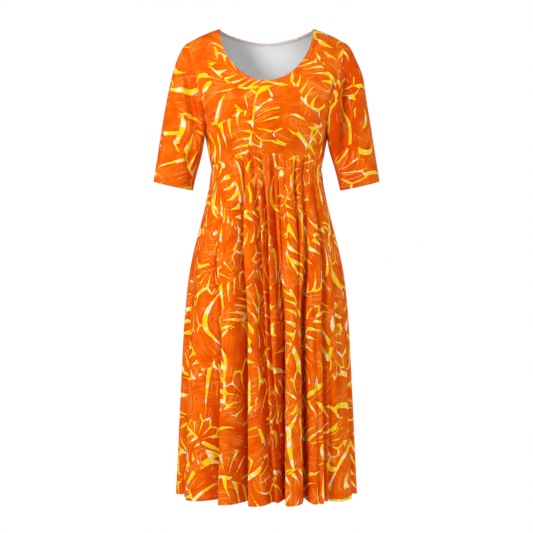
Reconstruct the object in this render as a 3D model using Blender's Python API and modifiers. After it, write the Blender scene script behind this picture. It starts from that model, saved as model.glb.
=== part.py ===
"""A gathered midi dress with elbow sleeves, filled out as it is worn.

The front of the dress faces -Y and +X is the viewer's right. The origin lies midway between the two
points where the shoulder seams meet the neckline, which is where the wearer's shoulders carry it.
Every piece of cloth is one open sheet, worked out from the sizes below and thickened inwards.
"""

import math
from collections import namedtuple

import bmesh
import bpy
from mathutils import Vector

MM = 0.001
DRESS = "gathered_midi_dress"

CLOTH_THICKNESS = 1.2 * MM
SEAM_GAP = 0.3 * MM
MERGE_DISTANCE = 0.01 * MM

# Scoop neckline: half width, drops at the centre and how square its corners are.
NECK_HALF_WIDTH = 114 * MM
FRONT_NECK_DROP = 136 * MM
BACK_NECK_DROP = 25.5 * MM
FRONT_NECK_POWER = 1.95
BACK_NECK_POWER = 1.5
NECK_TOP_SPACING = 1.5

# Shoulder seam: it falls from the neck point to the shoulder tip on a slight curve.
SHOULDER_TIP_X = 190 * MM
SHOULDER_SLOPE = 0.30
SHOULDER_CURVE = 1.9
FRONT_SHOULDER_ROUND = 110 * MM
BACK_SHOULDER_ROUND = 72 * MM
SHOULDER_STRIP = 2.5 * MM
SHOULDER_STRIP_DROP = 0.06 * MM

# Raised waist seam: highest at the centre front, lowest at the side seams.
WAIST_FRONT = -311 * MM
WAIST_SIDE = -349 * MM
WAIST_BACK = -338 * MM
WAIST_POWER = 1.9

UNDERARM = -258 * MM
HEM = -1137 * MM
SECTION_POWER = 2.15

Section = namedtuple("Section", "height half_width front back")
SECTIONS = (
    Section(20 * MM, 239 * MM, 52 * MM, 70 * MM),
    Section(-60 * MM, 222 * MM, 74 * MM, 94 * MM),
    Section(-110 * MM, 207 * MM, 85 * MM, 104 * MM),
    Section(-160 * MM, 187 * MM, 99 * MM, 110 * MM),
    Section(-210 * MM, 164 * MM, 119 * MM, 112 * MM),
    Section(UNDERARM, 151.5 * MM, 121 * MM, 109 * MM),
    Section(WAIST_FRONT, 141 * MM, 107 * MM, 101 * MM),
    Section(WAIST_SIDE, 134.5 * MM, 112 * MM, 98 * MM),
    Section(-373 * MM, 136 * MM, 117 * MM, 101 * MM),
    Section(-412 * MM, 144 * MM, 125 * MM, 109 * MM),
    Section(-467 * MM, 158 * MM, 135 * MM, 121 * MM),
    Section(-554 * MM, 180 * MM, 151 * MM, 141 * MM),
    Section(-615 * MM, 191 * MM, 161 * MM, 152 * MM),
    Section(-718 * MM, 201 * MM, 174 * MM, 166 * MM),
    Section(-850 * MM, 208 * MM, 185 * MM, 178 * MM),
    Section(-1022 * MM, 216 * MM, 195 * MM, 189 * MM),
    Section(HEM, 221.5 * MM, 205 * MM, 198 * MM),
)

# The armhole as seen from the front and from the back.
ArmholePoint = namedtuple("ArmholePoint", "height front_x back_x")
ARMHOLE = (
    ArmholePoint(-33.8 * MM, SHOULDER_TIP_X, SHOULDER_TIP_X),
    ArmholePoint(-70 * MM, 186 * MM, 188 * MM),
    ArmholePoint(-105 * MM, 180 * MM, 183 * MM),
    ArmholePoint(-135 * MM, 170.5 * MM, 175 * MM),
    ArmholePoint(-165 * MM, 160.5 * MM, 166 * MM),
    ArmholePoint(-195 * MM, 154 * MM, 158 * MM),
    ArmholePoint(-230 * MM, 150.5 * MM, 152 * MM),
    ArmholePoint(UNDERARM, 151.5 * MM, 151.5 * MM),
)

# Elbow sleeve: the middle of the cuff and the half axes from there to its outer and front edges.
CUFF_MIDDLE = Vector((228.5, 0, -385)) * MM
CUFF_TO_OUTER = Vector((48.5, 0, 11)) * MM
CUFF_TO_FRONT = Vector((0, -50.5, -3.5)) * MM
SLEEVE_FALL = Vector((0.17, 0, -0.985))
SHOULDER_RUN = Vector((0.955, 0, -0.295))
UNDERARM_RUN = Vector((0.02, 0, -1))
CAP_FULLNESS = 0.39
ARMHOLE_CLEARANCE = 0.35 * MM

# Soft folds of the skirt: where each valley lies at the hem, counted from the middle of its own panel,
# how deep it is there, how wide it is to each side, and how much of its depth it has at the waist seam.
Fold = namedtuple("Fold", "angle depth half_width at_waist")
FRONT_FOLDS = (
    Fold(-79, 46 * MM, 6, 0.02),
    Fold(-60, 9 * MM, 8, 0.05),
    Fold(-30.5, 17 * MM, 5.5, 0.10),
    Fold(-13.5, 40 * MM, 5.5, 0.12),
    Fold(0.5, 16 * MM, 4.5, 0.20),
    Fold(10, 44 * MM, 4.5, 0.14),
    Fold(24.5, 32 * MM, 5, 0.14),
    Fold(37, 17 * MM, 5, 0.12),
    Fold(58, 9 * MM, 8, 0.05),
    Fold(79, 46 * MM, 6, 0.02),
)
BACK_FOLDS = (
    Fold(-78, 38 * MM, 6, 0.02),
    Fold(-57, 16 * MM, 7, 0.05),
    Fold(-38, 26 * MM, 6, 0.08),
    Fold(-22, 38 * MM, 5.5, 0.12),
    Fold(-7, 24 * MM, 5, 0.14),
    Fold(6, 40 * MM, 5, 0.14),
    Fold(20, 20 * MM, 5, 0.12),
    Fold(34, 34 * MM, 6, 0.10),
    Fold(55, 14 * MM, 7, 0.05),
    Fold(78, 40 * MM, 6, 0.02),
)
# How the valleys deepen down the skirt, how much they lift the hem, and the calm stretch (in degrees)
# that carries the side seam on the crest of a fold.
FOLD_GROWTH = 0.85
SIDE_CALM_FROM = 80
SIDE_CALM = 8
HEM_LIFT = 0.12
HEM_MIDDLE_DROP = 4 * MM

# Fine gathers under the waist seam: ripple height, reach down the skirt, and the gathered stretch.
GATHER_HEIGHT = 1.7 * MM
GATHER_AT_SEAM = 0.45
GATHER_RISE = 14 * MM
GATHER_REACH = 105 * MM
GATHERED_FROM = -46
GATHERED_TO = 62
GATHER_FADE = 14
GATHER_UNEVENNESS = 0.22
GATHER_BEATS = (0.37, 0.11)
COLUMNS_PER_GATHER = 4

# Mesh counts. Below the gathers the skirt has half as many columns.
BODICE_COLUMNS = 11
SIDE_CROWDING = 1.25
SIDE_ROWS = 4
CENTRE_ROWS = 7
BODICE_ROWS = 16
NECK_DIP = -22 * MM
SLEEVE_ROWS = 11
SKIRT_COLUMNS = 58
CENTRE_CROWDING = 0.13
SIDE_STRIP = 0.7
GATHER_ROWS_AT = (0, 12 * MM, 30 * MM, 62 * MM, 108 * MM)
LOWER_ROWS = 12

Cloth = namedtuple("Cloth", "name colour roughness")
PRINTED_CLOTH = Cloth("printed_cloth", (1.0, 0.16, 0.012, 1), 0.62)


def blend(start, end, share):
    return start + (end - start) * share


def eased(share):
    """0 to 1 with level ends."""
    share = min(max(share, 0.0), 1.0)
    return share * share * (3 - 2 * share)


def column_at(table, column, height):
    """A column of a table read at a height, on a smooth curve that never overshoots its rows."""
    rows = sorted(table, key=lambda row: row.height)
    heights = [row.height for row in rows]
    values = [getattr(row, column) for row in rows]
    slopes = [
        (values[i + 1] - values[i]) / (heights[i + 1] - heights[i]) for i in range(len(rows) - 1)
    ]
    tangents = [slopes[0]]
    for before, after in zip(slopes, slopes[1:]):
        tangents.append(0.0 if before * after <= 0 else 2 * before * after / (before + after))
    tangents.append(slopes[-1])
    height = min(max(height, heights[0]), heights[-1])
    i = max(k for k in range(len(slopes)) if heights[k] <= height)
    step = heights[i + 1] - heights[i]
    t = (height - heights[i]) / step
    return (
        (2 * t**3 - 3 * t**2 + 1) * values[i]
        + (t**3 - 2 * t**2 + t) * step * tangents[i]
        + (3 * t**2 - 2 * t**3) * values[i + 1]
        + (t**3 - t**2) * step * tangents[i + 1]
    )


def shoulder_height(x):
    beyond_neck = x - NECK_HALF_WIDTH
    curve = SHOULDER_CURVE * beyond_neck**2 if beyond_neck > 0 else 0.0
    return -SHOULDER_SLOPE * beyond_neck - curve


def waist_height(angle, panel):
    """Height of the waist seam at an angle from the middle of the front or back panel."""
    middle = WAIST_FRONT if panel == "front" else WAIST_BACK
    return blend(middle, WAIST_SIDE, (abs(angle) / 90) ** WAIST_POWER)


def torso_depth(x, z, panel):
    """How far the bodice stands forward or back at a place seen from the front."""
    half_width = column_at(SECTIONS, "half_width", z)
    depth = column_at(SECTIONS, panel, z)
    rounding = FRONT_SHOULDER_ROUND if panel == "front" else BACK_SHOULDER_ROUND
    below = min(max((shoulder_height(x) - z) / rounding, 0.0), 1.0)
    over_shoulder = math.sqrt(1 - (1 - below) ** 2)
    across = min(x / half_width, 1.0)
    return depth * (1 - across**SECTION_POWER) ** (1 / SECTION_POWER) * over_shoulder


def row_start(row, panel):
    """Where a row of the bodice starts: on the centre line, then on the neckline."""
    if row <= CENTRE_ROWS:
        bottom = waist_height(0, panel)
        neck = -FRONT_NECK_DROP if panel == "front" else -BACK_NECK_DROP
        return 0.0, blend(bottom, neck, row / CENTRE_ROWS)
    drop = FRONT_NECK_DROP if panel == "front" else BACK_NECK_DROP
    power = FRONT_NECK_POWER if panel == "front" else BACK_NECK_POWER
    share = (row - CENTRE_ROWS) / (BODICE_ROWS - CENTRE_ROWS)
    turn = math.radians(90) * (1 - (1 - share) ** NECK_TOP_SPACING)
    x = NECK_HALF_WIDTH * math.sin(turn) ** (2 / power)
    return x, -drop * max(math.cos(turn), 0.0) ** (2 / power)


def row_end(row, panel):
    """Where a row of the bodice ends: on the side seam, then on the armhole."""
    if row <= SIDE_ROWS:
        z = blend(WAIST_SIDE, UNDERARM, row / SIDE_ROWS)
        return column_at(SECTIONS, "half_width", z), z
    share = (row - SIDE_ROWS) / (BODICE_ROWS - SIDE_ROWS)
    z = blend(UNDERARM, shoulder_height(SHOULDER_TIP_X), math.sin(math.radians(90) * share))
    return column_at(ARMHOLE, panel + "_x", z), z


def row_x(row, share, panel):
    start_x, _ = row_start(row, panel)
    end_x, end_z = row_end(row, panel)
    reach = max(column_at(SECTIONS, "half_width", end_z), end_x)
    first = math.asin((start_x / reach) ** (SECTION_POWER / 2))
    last = math.asin(min((end_x / reach) ** (SECTION_POWER / 2), 1.0))
    return reach * math.sin(blend(first, last, share)) ** (2 / SECTION_POWER)


def bodice_share(column):
    """Columns crowd a little towards the side, where the cloth turns round the body."""
    return 1 - (1 - column / BODICE_COLUMNS) ** SIDE_CROWDING


def bodice_point(row, column, panel):
    """A point of the right half of the bodice, below the strip along the shoulder seam."""
    share = bodice_share(column)
    _, start_z = row_start(row, panel)
    _, end_z = row_end(row, panel)
    near_waist = 1 - eased(row / CENTRE_ROWS)
    straight_waist = blend(waist_height(0, panel), WAIST_SIDE, share)
    z = blend(start_z, end_z, share) + (waist_height(90 * share, panel) - straight_waist) * near_waist
    wider = column_at(SECTIONS, "half_width", z) / column_at(SECTIONS, "half_width", end_z)
    x = row_x(row, share, panel) * blend(1, wider, near_waist)
    if row < CENTRE_ROWS:
        near_neck = (row / CENTRE_ROWS) ** 2
    else:
        near_neck = ((BODICE_ROWS - row) / (BODICE_ROWS - CENTRE_ROWS)) ** 2
    z += NECK_DIP * near_neck * 4 * share * (1 - share)
    near_shoulder = eased((row - CENTRE_ROWS) / (BODICE_ROWS - CENTRE_ROWS)) ** 2
    straight_shoulder = blend(0.0, shoulder_height(SHOULDER_TIP_X), share)
    z += (shoulder_height(x) - straight_shoulder) * near_shoulder
    y = torso_depth(x, z, panel)
    towards = -1 if panel == "front" else 1
    return Vector((x, towards * (y + SEAM_GAP / 2), z + SEAM_GAP / 2 * (row == 0)))


def shoulder_point(from_seam, column, panel):
    """A point of the level strip where the front and the back meet along the shoulder seam."""
    x = row_x(BODICE_ROWS, bodice_share(column), panel)
    drop = SHOULDER_STRIP_DROP * from_seam / SHOULDER_STRIP
    towards = -1 if panel == "front" else 1
    return Vector((x, towards * (from_seam + SEAM_GAP / 2), shoulder_height(x) - drop))


def bodice_line(column, panel, first_row=0):
    """The points of one column of the bodice, from a row up to the shoulder seam."""
    points = [bodice_point(row, column, panel) for row in range(first_row, BODICE_ROWS)]
    return points + [shoulder_point(from_seam, column, panel) for from_seam in (SHOULDER_STRIP, 0)]


def ring_point(angle, z, panel, offset):
    """Place across and depth on the skirt's ring, moved out of the smooth section by an offset."""
    turn = math.radians(angle)
    half_width = column_at(SECTIONS, "half_width", z)
    depth = column_at(SECTIONS, panel, z)
    sine = math.copysign(abs(math.sin(turn)) ** (2 / SECTION_POWER), math.sin(turn))
    cosine = max(math.cos(turn), 0.0) ** (2 / SECTION_POWER)
    outward = Vector((math.sin(turn) * depth, math.cos(turn) * half_width)).normalized()
    return half_width * sine + outward.x * offset, depth * cosine + outward.y * offset


def fold_offset(angle, fall, folds):
    """Depth of the valleys at an angle, for a share of the way down the skirt."""
    deepest = 0.0
    for fold in folds:
        growth = blend(fold.at_waist, 1.0, fall**FOLD_GROWTH)
        away = (angle - fold.angle) / fold.half_width
        deepest -= fold.depth * growth * math.exp(-away * away)
    return deepest * (1 - eased((abs(angle) - SIDE_CALM_FROM) / SIDE_CALM))


def gather_offset(angle, fine_column, below_seam):
    """Ripple of the gathers, which start at the seam and die out into the folds."""
    inside = eased((angle - GATHERED_FROM) / GATHER_FADE) * eased((GATHERED_TO - angle) / GATHER_FADE)
    rise = blend(GATHER_AT_SEAM, 1.0, eased(below_seam / GATHER_RISE))
    fade = 1 - eased((below_seam - GATHER_RISE) / (GATHER_REACH - GATHER_RISE))
    beat = math.sin(fine_column * GATHER_BEATS[0]) * math.cos(fine_column * GATHER_BEATS[1])
    height = GATHER_HEIGHT * (1 - GATHER_UNEVENNESS + GATHER_UNEVENNESS * beat)
    return height * math.cos(2 * math.pi * fine_column / COLUMNS_PER_GATHER) * inside * rise * fade


def skirt_angle(fine_column):
    """Columns crowd towards the panel's middle, and one narrow strip runs along each side seam."""
    from_seam = min(fine_column, 2 * SKIRT_COLUMNS - fine_column)
    across = (fine_column - SKIRT_COLUMNS) / (SKIRT_COLUMNS - 2)
    if from_seam < 2:
        return math.copysign(90 - SIDE_STRIP * from_seam / 2, across)
    return (90 - SIDE_STRIP) * across * (1 - CENTRE_CROWDING + CENTRE_CROWDING * across**2)


def skirt_point(fine_column, fall, panel, folds):
    """A point of the skirt; fall is the share of the way from the waist seam to the hem."""
    angle = skirt_angle(fine_column)
    valley = fold_offset(angle, fall, folds)
    seam = waist_height(angle, panel) - SEAM_GAP / 2
    hem = HEM - HEM_MIDDLE_DROP * (1 - (angle / 90) ** 2) - HEM_LIFT * valley
    z = blend(seam, hem, fall)
    x, depth = ring_point(angle, z, panel, valley + gather_offset(angle, fine_column, seam - z))
    towards = -1 if panel == "front" else 1
    return Vector((x, towards * (depth + SEAM_GAP / 2), z))


def add_quads(bm, lower, upper, outward, closed_round=False):
    """Quads between two rows of vertices of the same length."""
    count = len(lower)
    for i in range(count if closed_round else count - 1):
        k = (i + 1) % count
        corners = (lower[i], lower[k], upper[k], upper[i])
        bm.faces.new(corners if outward else corners[::-1])


def add_halving(bm, fine, coarse, outward):
    """Joins a row of vertices to one below it that has half its columns."""
    for i in range(len(coarse) - 1):
        left, middle, right = fine[2 * i : 2 * i + 3]
        for corners in (
            (coarse[i], coarse[i + 1], middle),
            (coarse[i], middle, left),
            (coarse[i + 1], right, middle),
        ):
            bm.faces.new(corners if outward else corners[::-1])


def cloth_material(piece, cloth):
    material = bpy.data.materials.new(piece + "_" + cloth.name)
    material.use_nodes = True
    material.diffuse_color = cloth.colour
    shader = material.node_tree.nodes["Principled BSDF"]
    shader.inputs["Base Color"].default_value = cloth.colour
    shader.inputs["Roughness"].default_value = cloth.roughness
    shader.inputs["Metallic"].default_value = 0.0
    return material


def cloth_piece(name, bm, collection, mirrored=False):
    """A named object from an open sheet, mirrored if it is a half, with its wall on the inner side."""
    mesh = bpy.data.meshes.new(name)
    bm.to_mesh(mesh)
    bm.free()
    mesh.shade_smooth()
    mesh.materials.append(cloth_material(name, PRINTED_CLOTH))
    piece = bpy.data.objects.new(name, mesh)
    collection.objects.link(piece)
    if mirrored:
        mirror = piece.modifiers.new("other_half", "MIRROR")
        mirror.use_axis = (True, False, False)
        mirror.merge_threshold = MERGE_DISTANCE
    wall = piece.modifiers.new("cloth_wall", "SOLIDIFY")
    wall.thickness = CLOTH_THICKNESS
    wall.offset = -1
    return piece


def make_bodice(panel, collection):
    bm = bmesh.new()
    lines = [
        [bm.verts.new(point) for point in bodice_line(column, panel)]
        for column in range(BODICE_COLUMNS + 1)
    ]
    for nearer, further in zip(lines, lines[1:]):
        add_quads(bm, nearer, further, outward=panel == "back")
    return cloth_piece("bodice_" + panel, bm, collection, mirrored=True)


def make_skirt(panel, folds, collection):
    bm = bmesh.new()
    outward = panel == "front"
    length = WAIST_FRONT - HEM
    gathered_to = GATHER_ROWS_AT[-1] / length
    fine_rows = [
        [
            bm.verts.new(skirt_point(column, below_seam / length, panel, folds))
            for column in range(2 * SKIRT_COLUMNS + 1)
        ]
        for below_seam in GATHER_ROWS_AT
    ]
    lower_rows = [
        [
            bm.verts.new(skirt_point(2 * column, blend(gathered_to, 1, row / LOWER_ROWS), panel, folds))
            for column in range(SKIRT_COLUMNS + 1)
        ]
        for row in range(1, LOWER_ROWS + 1)
    ]
    for upper, lower in zip(fine_rows, fine_rows[1:]):
        add_quads(bm, lower, upper, outward)
    add_halving(bm, fine_rows[-1], lower_rows[0], outward)
    for upper, lower in zip(lower_rows, lower_rows[1:]):
        add_quads(bm, lower, upper, outward)
    return cloth_piece("skirt_" + panel, bm, collection)


def armhole_loop():
    """The right armhole's points, from the underarm up the front, over the tip and down the back."""
    front = bodice_line(BODICE_COLUMNS, "front", SIDE_ROWS)
    back = bodice_line(BODICE_COLUMNS, "back", SIDE_ROWS)
    for end in (0, -1):
        front[end].y = 0.0
    loop = front + back[-2:0:-1]
    return [point + Vector((ARMHOLE_CLEARANCE, 0, 0)) for point in loop]


def sleeve_guide(index, loop):
    """Ends and end directions of the curve that runs down the sleeve from one armhole point."""
    half = len(loop) // 2
    rise = 1 - abs(index - half) / half
    start = loop[index]
    turn = math.pi * (1 - rise)
    end = CUFF_MIDDLE + CUFF_TO_OUTER * math.cos(turn)
    end += CUFF_TO_FRONT * math.sin(turn) * (1 if index < half else -1)
    length = (end - start).length
    over_cap = (1 - math.cos(math.pi * rise)) / 2
    leaving = UNDERARM_RUN.lerp(SHOULDER_RUN, over_cap).normalized()
    return start, leaving * length * blend(1.0, CAP_FULLNESS, over_cap), end, SLEEVE_FALL * length


def sleeve_point(index, share, loop):
    start, leaving, end, arriving = sleeve_guide(index, loop)
    t = share
    return (
        start * (2 * t**3 - 3 * t**2 + 1)
        + leaving * (t**3 - 2 * t**2 + t)
        + end * (3 * t**2 - 2 * t**3)
        + arriving * (t**3 - t**2)
    )


def make_sleeve(side, collection):
    """The left or right sleeve as the viewer sees it; the left one is the right one mirrored."""
    bm = bmesh.new()
    loop = armhole_loop()
    hand = Vector((1 if side == "right" else -1, 1, 1))
    rows = [
        [
            bm.verts.new(sleeve_point(index, row / SLEEVE_ROWS, loop) * hand)
            for index in range(len(loop))
        ]
        for row in range(SLEEVE_ROWS + 1)
    ]
    for upper, lower in zip(rows, rows[1:]):
        add_quads(bm, lower, upper, outward=side == "right", closed_round=True)
    return cloth_piece("sleeve_" + side, bm, collection)


def main():
    for old in list(bpy.data.objects):
        bpy.data.objects.remove(old)
    collection = bpy.data.collections.new(DRESS)
    bpy.context.scene.collection.children.link(collection)
    make_bodice("front", collection)
    make_bodice("back", collection)
    make_skirt("front", FRONT_FOLDS, collection)
    make_skirt("back", BACK_FOLDS, collection)
    make_sleeve("left", collection)
    make_sleeve("right", collection)


main()
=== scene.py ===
import math
from collections import namedtuple

import bmesh
import bpy
import numpy as np
from bpy.props import FloatProperty, FloatVectorProperty, PointerProperty
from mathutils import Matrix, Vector


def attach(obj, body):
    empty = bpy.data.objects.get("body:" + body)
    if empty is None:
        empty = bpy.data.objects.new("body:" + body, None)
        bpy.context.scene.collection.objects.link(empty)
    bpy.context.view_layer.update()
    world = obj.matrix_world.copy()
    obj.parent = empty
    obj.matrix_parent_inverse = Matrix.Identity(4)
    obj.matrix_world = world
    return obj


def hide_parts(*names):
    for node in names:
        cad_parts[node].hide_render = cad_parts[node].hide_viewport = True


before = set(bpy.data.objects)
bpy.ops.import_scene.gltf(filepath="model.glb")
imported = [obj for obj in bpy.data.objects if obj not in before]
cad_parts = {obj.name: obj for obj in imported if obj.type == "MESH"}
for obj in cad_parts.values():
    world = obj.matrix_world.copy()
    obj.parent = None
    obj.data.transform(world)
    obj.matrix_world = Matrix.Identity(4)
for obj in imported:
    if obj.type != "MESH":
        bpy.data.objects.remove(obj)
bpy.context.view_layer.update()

bl_info = {
    "name": "Gathered Midi Dress",
    "version": (1, 0, 0),
    "blender": (4, 5, 0),
    "location": "View3D > Sidebar > Dress",
    "description": "Cloth, stitching and studio of a gathered midi dress with elbow sleeves",
    "category": "Add Mesh",
}

BODY = "root"
UV_MAP = "cloth"
EDGE_DISTANCE = "from_edge"
# Point attribute: the share of painted shade, a deeper orange in the skirt's folds and on the sleeves'
# inner sides.
PAINTED_SHADE_SHARE = "folded_in"
FAR_FROM_EDGE = 1.0  # metres, stated wherever no free edge is near
MM = 0.001

# The dress's own sizes, as its solids have them.
SEAM_GAP = 0.08 * MM
NECK_HALF_WIDTH = 114 * MM
NECK_DROP = {"front": 136 * MM, "back": 25.5 * MM}
NECK_POWER = {"front": 1.95, "back": 1.5}  # power of the neckline's superellipse
NECK_TOP_SPACING = 1.5
NECK_DIP = -22 * MM  # how far rows between neckline and armhole sag
SHOULDER_TIP_X = 190 * MM
SHOULDER_SLOPE = 0.30
SHOULDER_CURVE = 1.9  # drop for each square metre beyond the neck point
SHOULDER_ROUND = {"front": 110 * MM, "back": 72 * MM}
WAIST_MIDDLE = {"front": -311 * MM, "back": -338 * MM}
WAIST_SIDE = -349 * MM
WAIST_POWER = 1.9
UNDERARM = -258 * MM
HEM = -1137 * MM
SECTION_POWER = 2.15  # power of the superellipses that the level sections are
TOWARDS = {"front": -1, "back": 1}  # along y
HAND = {"left": -1, "right": 1}  # along x, as the viewer sees it

Section = namedtuple("Section", "height half_width front back")
SECTIONS = tuple(
    Section(*(value * MM for value in row))
    for row in (
        (20, 239, 52, 70),
        (-60, 222, 74, 94),
        (-110, 207, 85, 104),
        (-160, 187, 99, 110),
        (-210, 164, 119, 112),
        (-258, 151.5, 121, 109),
        (-311, 141, 107, 101),
        (-349, 134.5, 112, 98),
        (-373, 136, 117, 101),
        (-412, 144, 125, 109),
        (-467, 158, 135, 121),
        (-554, 180, 151, 141),
        (-615, 191, 161, 152),
        (-718, 201, 174, 166),
        (-850, 208, 185, 178),
        (-1022, 216, 195, 189),
        (-1137, 221.5, 205, 198),
    )
)
ArmholePoint = namedtuple("ArmholePoint", "height front back")
ARMHOLE = tuple(
    ArmholePoint(*(value * MM for value in row))
    for row in (
        (-33.8, 190, 190),
        (-70, 186, 188),
        (-105, 180, 183),
        (-135, 170.5, 175),
        (-165, 160.5, 166),
        (-195, 154, 158),
        (-230, 150.5, 152),
        (-258, 151.5, 151.5),
    )
)

# Elbow sleeve at the viewer's right: its cuff, and the directions that it leaves and arrives in.
CUFF_MIDDLE = np.array((228.5, 0, -385)) * MM
CUFF_TO_OUTER = np.array((48.5, 0, 11)) * MM
CUFF_TO_FRONT = np.array((0, -50.5, -3.5)) * MM
SLEEVE_FALL = np.array((0.17, 0, -0.985))
SHOULDER_RUN = np.array((0.955, 0, -0.295))
UNDERARM_RUN = np.array((0.02, 0, -1))
CAP_FULLNESS = 0.39  # pull of the shoulder's direction over the cap, as a share of the length there
ARMHOLE_CLEARANCE = 0.05 * MM

# Troughs of the skirt. Each row says how many degrees from the panel's middle one runs and
# how many millimetres deep it is, both at four places on the way down, and its spread in degrees each way.
WAY_DOWN = (0.0, 0.2, 0.5, 1.0)
Trough = namedtuple("Trough", "angles depths left right")
FRONT_TROUGHS = (
    ((-79, -79, -79, -79), (0.5, 6, 20, 44), 5, 5),
    ((-69.2, -69.2, -69.2, -65), (0, 2, 10, 27), 5, 2.2),
    ((-88.1, -64.2, -64.2, -64.2), (1.6, 2, 0, 0), 2, 2),
    ((-43.3, -43.3, -43.3, -39.9), (0, 4, 10, 8), 4, 2.2),
    ((-66.9, -50.1, -35.2, -38.1), (2, 8, 29, 66), 7.6, 2.2),
    ((-47.6, -47.6, -33.6, -33.1), (0, 3, 18, 46), 3.2, 1.6),
    ((-55.5, -41.7, -41.7, -41.7), (2.4, 1.6, 0, 0), 1.8, 1.5),
    ((-45.3, -32.5, -32.5, -32.5), (2.4, 1, 0, 0), 1.8, 1.6),
    ((-35.8, -27.5, -27.5, -18.8), (3, 1.6, 2, 7), 2, 2),
    ((-25.4, -22.2, -15.5, -15.4), (9, 19, 32, 58), 4.4, 2.2),
    ((-24.6, -22.7, -15.5, -13.8), (6, 17, 32, 58), 2.2, 1.6),
    ((-20.2, -14.7, -14.7, -14.7), (6, 2, 0, 0), 1.3, 1.2),
    ((-14.8, -8.1, -4.5, 0.9), (11, 27, 40, 40), 2.2, 2.4),
    ((-9.6, -2.6, -2.6, -2.6), (7, 2.4, 0, 0), 1.3, 1.2),
    ((-5.3, -1.9, -0.3, 7.4), (11, 27, 38, 10), 1.6, 1.3),
    ((-0.8, 1.6, 1.6, 1.6), (6, 1.6, 0, 0), 1.2, 1.1),
    ((4.6, 4.9, 8.5, 7.3), (13, 27, 44, 64), 3.3, 1.6),
    ((9.5, 10.3, 10.3, 10.3), (9, 13, 6, 0), 1.4, 2.2),
    ((18, 16.1, 16.1, 16.1), (4.4, 3, 0, 0), 1.5, 1.3),
    ((29.2, 26.1, 19.6, 19.4), (9, 16, 10, 8), 1.8, 1.6),
    ((31.5, 26.9, 26.9, 26.9), (3, 3, 0, 0), 1.2, 1.1),
    ((39.8, 34.4, 24.5, 24), (8, 18, 50, 66), 2.4, 2.8),
    ((45.5, 37.1, 37.1, 37.1), (6.5, 3, 0, 0), 1.3, 1.5),
    ((33.6, 33.6, 33.6, 33.1), (0, 1, 6, 10), 1.8, 1.5),
    ((54.1, 50.7, 42.3, 39.8), (4, 12, 22, 28), 2.1, 2.6),
    ((46.6, 46.6, 46.6, 44.7), (0, 0, 6, 22), 2.4, 3.6),
    ((73.8, 58.1, 57.5, 49.5), (2, 4, 9, 3), 3, 3),
    ((88, 82.3, 79.7, 86.6), (0, 3, 14, 72), 2.8, 2),
    ((79, 79, 79, 79), (0.5, 6, 20, 44), 5, 5),
)
BACK_TROUGHS = (
    ((-78, -78, -78, -78), (0.5, 5, 17, 37), 5, 5),
    ((-66, -63, -59, -57), (0, 6, 13, 25), 4, 6),
    ((-56, -54, -50, -48), (2.8, 4, 3, 0), 3, 3),
    ((-50, -46, -40, -38), (4.5, 12, 24, 38), 2.8, 5.4),
    ((-43, -41, -40, -40), (5, 2.8, 0, 0), 2, 2.2),
    ((-37.6, -35, -31, -30), (6.5, 12, 10, 4), 2, 2.6),
    ((-32, -28, -23.4, -22), (8.5, 18, 38, 54), 2.8, 5),
    ((-27, -25, -24, -24), (6, 2.8, 0, 0), 1.6, 1.8),
    ((-21.8, -19, -15, -14), (7, 14, 13, 6), 1.9, 2.4),
    ((-16.4, -13, -8.4, -7), (9, 20, 27, 35), 2.2, 4),
    ((-11.4, -9, -8, -8), (6, 2.4, 0, 0), 1.5, 1.6),
    ((-6.8, -4.4, -1, 0), (7.5, 12, 8, 4), 1.8, 2.2),
    ((-2, 1, 4.8, 6), (9.5, 20, 40, 55), 2.4, 4.6),
    ((2.8, 4, 5, 5), (6, 2.8, 0, 0), 1.5, 1.6),
    ((7.6, 9.4, 12, 13), (7.5, 14, 10, 4), 1.8, 2.2),
    ((12.6, 15, 19, 20), (8.5, 18, 24, 30), 2.2, 3.8),
    ((17.6, 18, 19, 19), (6, 2.4, 0, 0), 1.5, 1.6),
    ((22.6, 24, 26, 27), (7, 12, 10, 4), 1.9, 2.4),
    ((28, 30, 33, 34), (9, 18, 35, 48), 2.6, 4.8),
    ((33.6, 34, 36, 36), (6, 2.8, 0, 0), 1.6, 1.8),
    ((39.4, 40, 42, 43), (6, 10, 10, 6), 2.2, 2.8),
    ((46, 48, 52, 54.5), (4.5, 10, 14, 22), 3, 4.6),
    ((54, 56, 60, 62), (2.4, 4, 5, 0), 3, 3.4),
    ((78, 78, 78, 78), (0.5, 5, 17, 39), 5, 5),
)
TROUGHS = {
    "front": [Trough(*row) for row in FRONT_TROUGHS],
    "back": [Trough(*row) for row in BACK_TROUGHS],
}
TROUGH_SHARPNESS = 1.5
FOLD_LEAN = {"front": 0.32, "back": -0.28}  # how far a fold leans over to one side, as a share of its depth
SIDE_CALM_FROM = 80  # degrees, from where the troughs fade towards the side seam
SIDE_CALM = 8
HEM_LIFT = 0.12  # how far a trough lifts the hem, as a share of its depth
HEM_MIDDLE_DROP = 4 * MM
GATHER_AT_SEAM = 0.22  # share of a trough's depth that it has at the waist seam
GATHER_RISE = 16 * MM  # below the seam, where troughs reach their whole depth and the skirt puffs out
PUFF = 2.4 * MM
PUFF_REACH = 110 * MM
DEEP_FOLD = 70 * MM  # fold depth at which the painted shade in the orange is fullest
WAIST_CUT_SHARE = 0.74  # width of the cut at the waist against the hem
SKIRT_ROW_SPACING = 1.15  # closer rows near the waist

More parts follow.
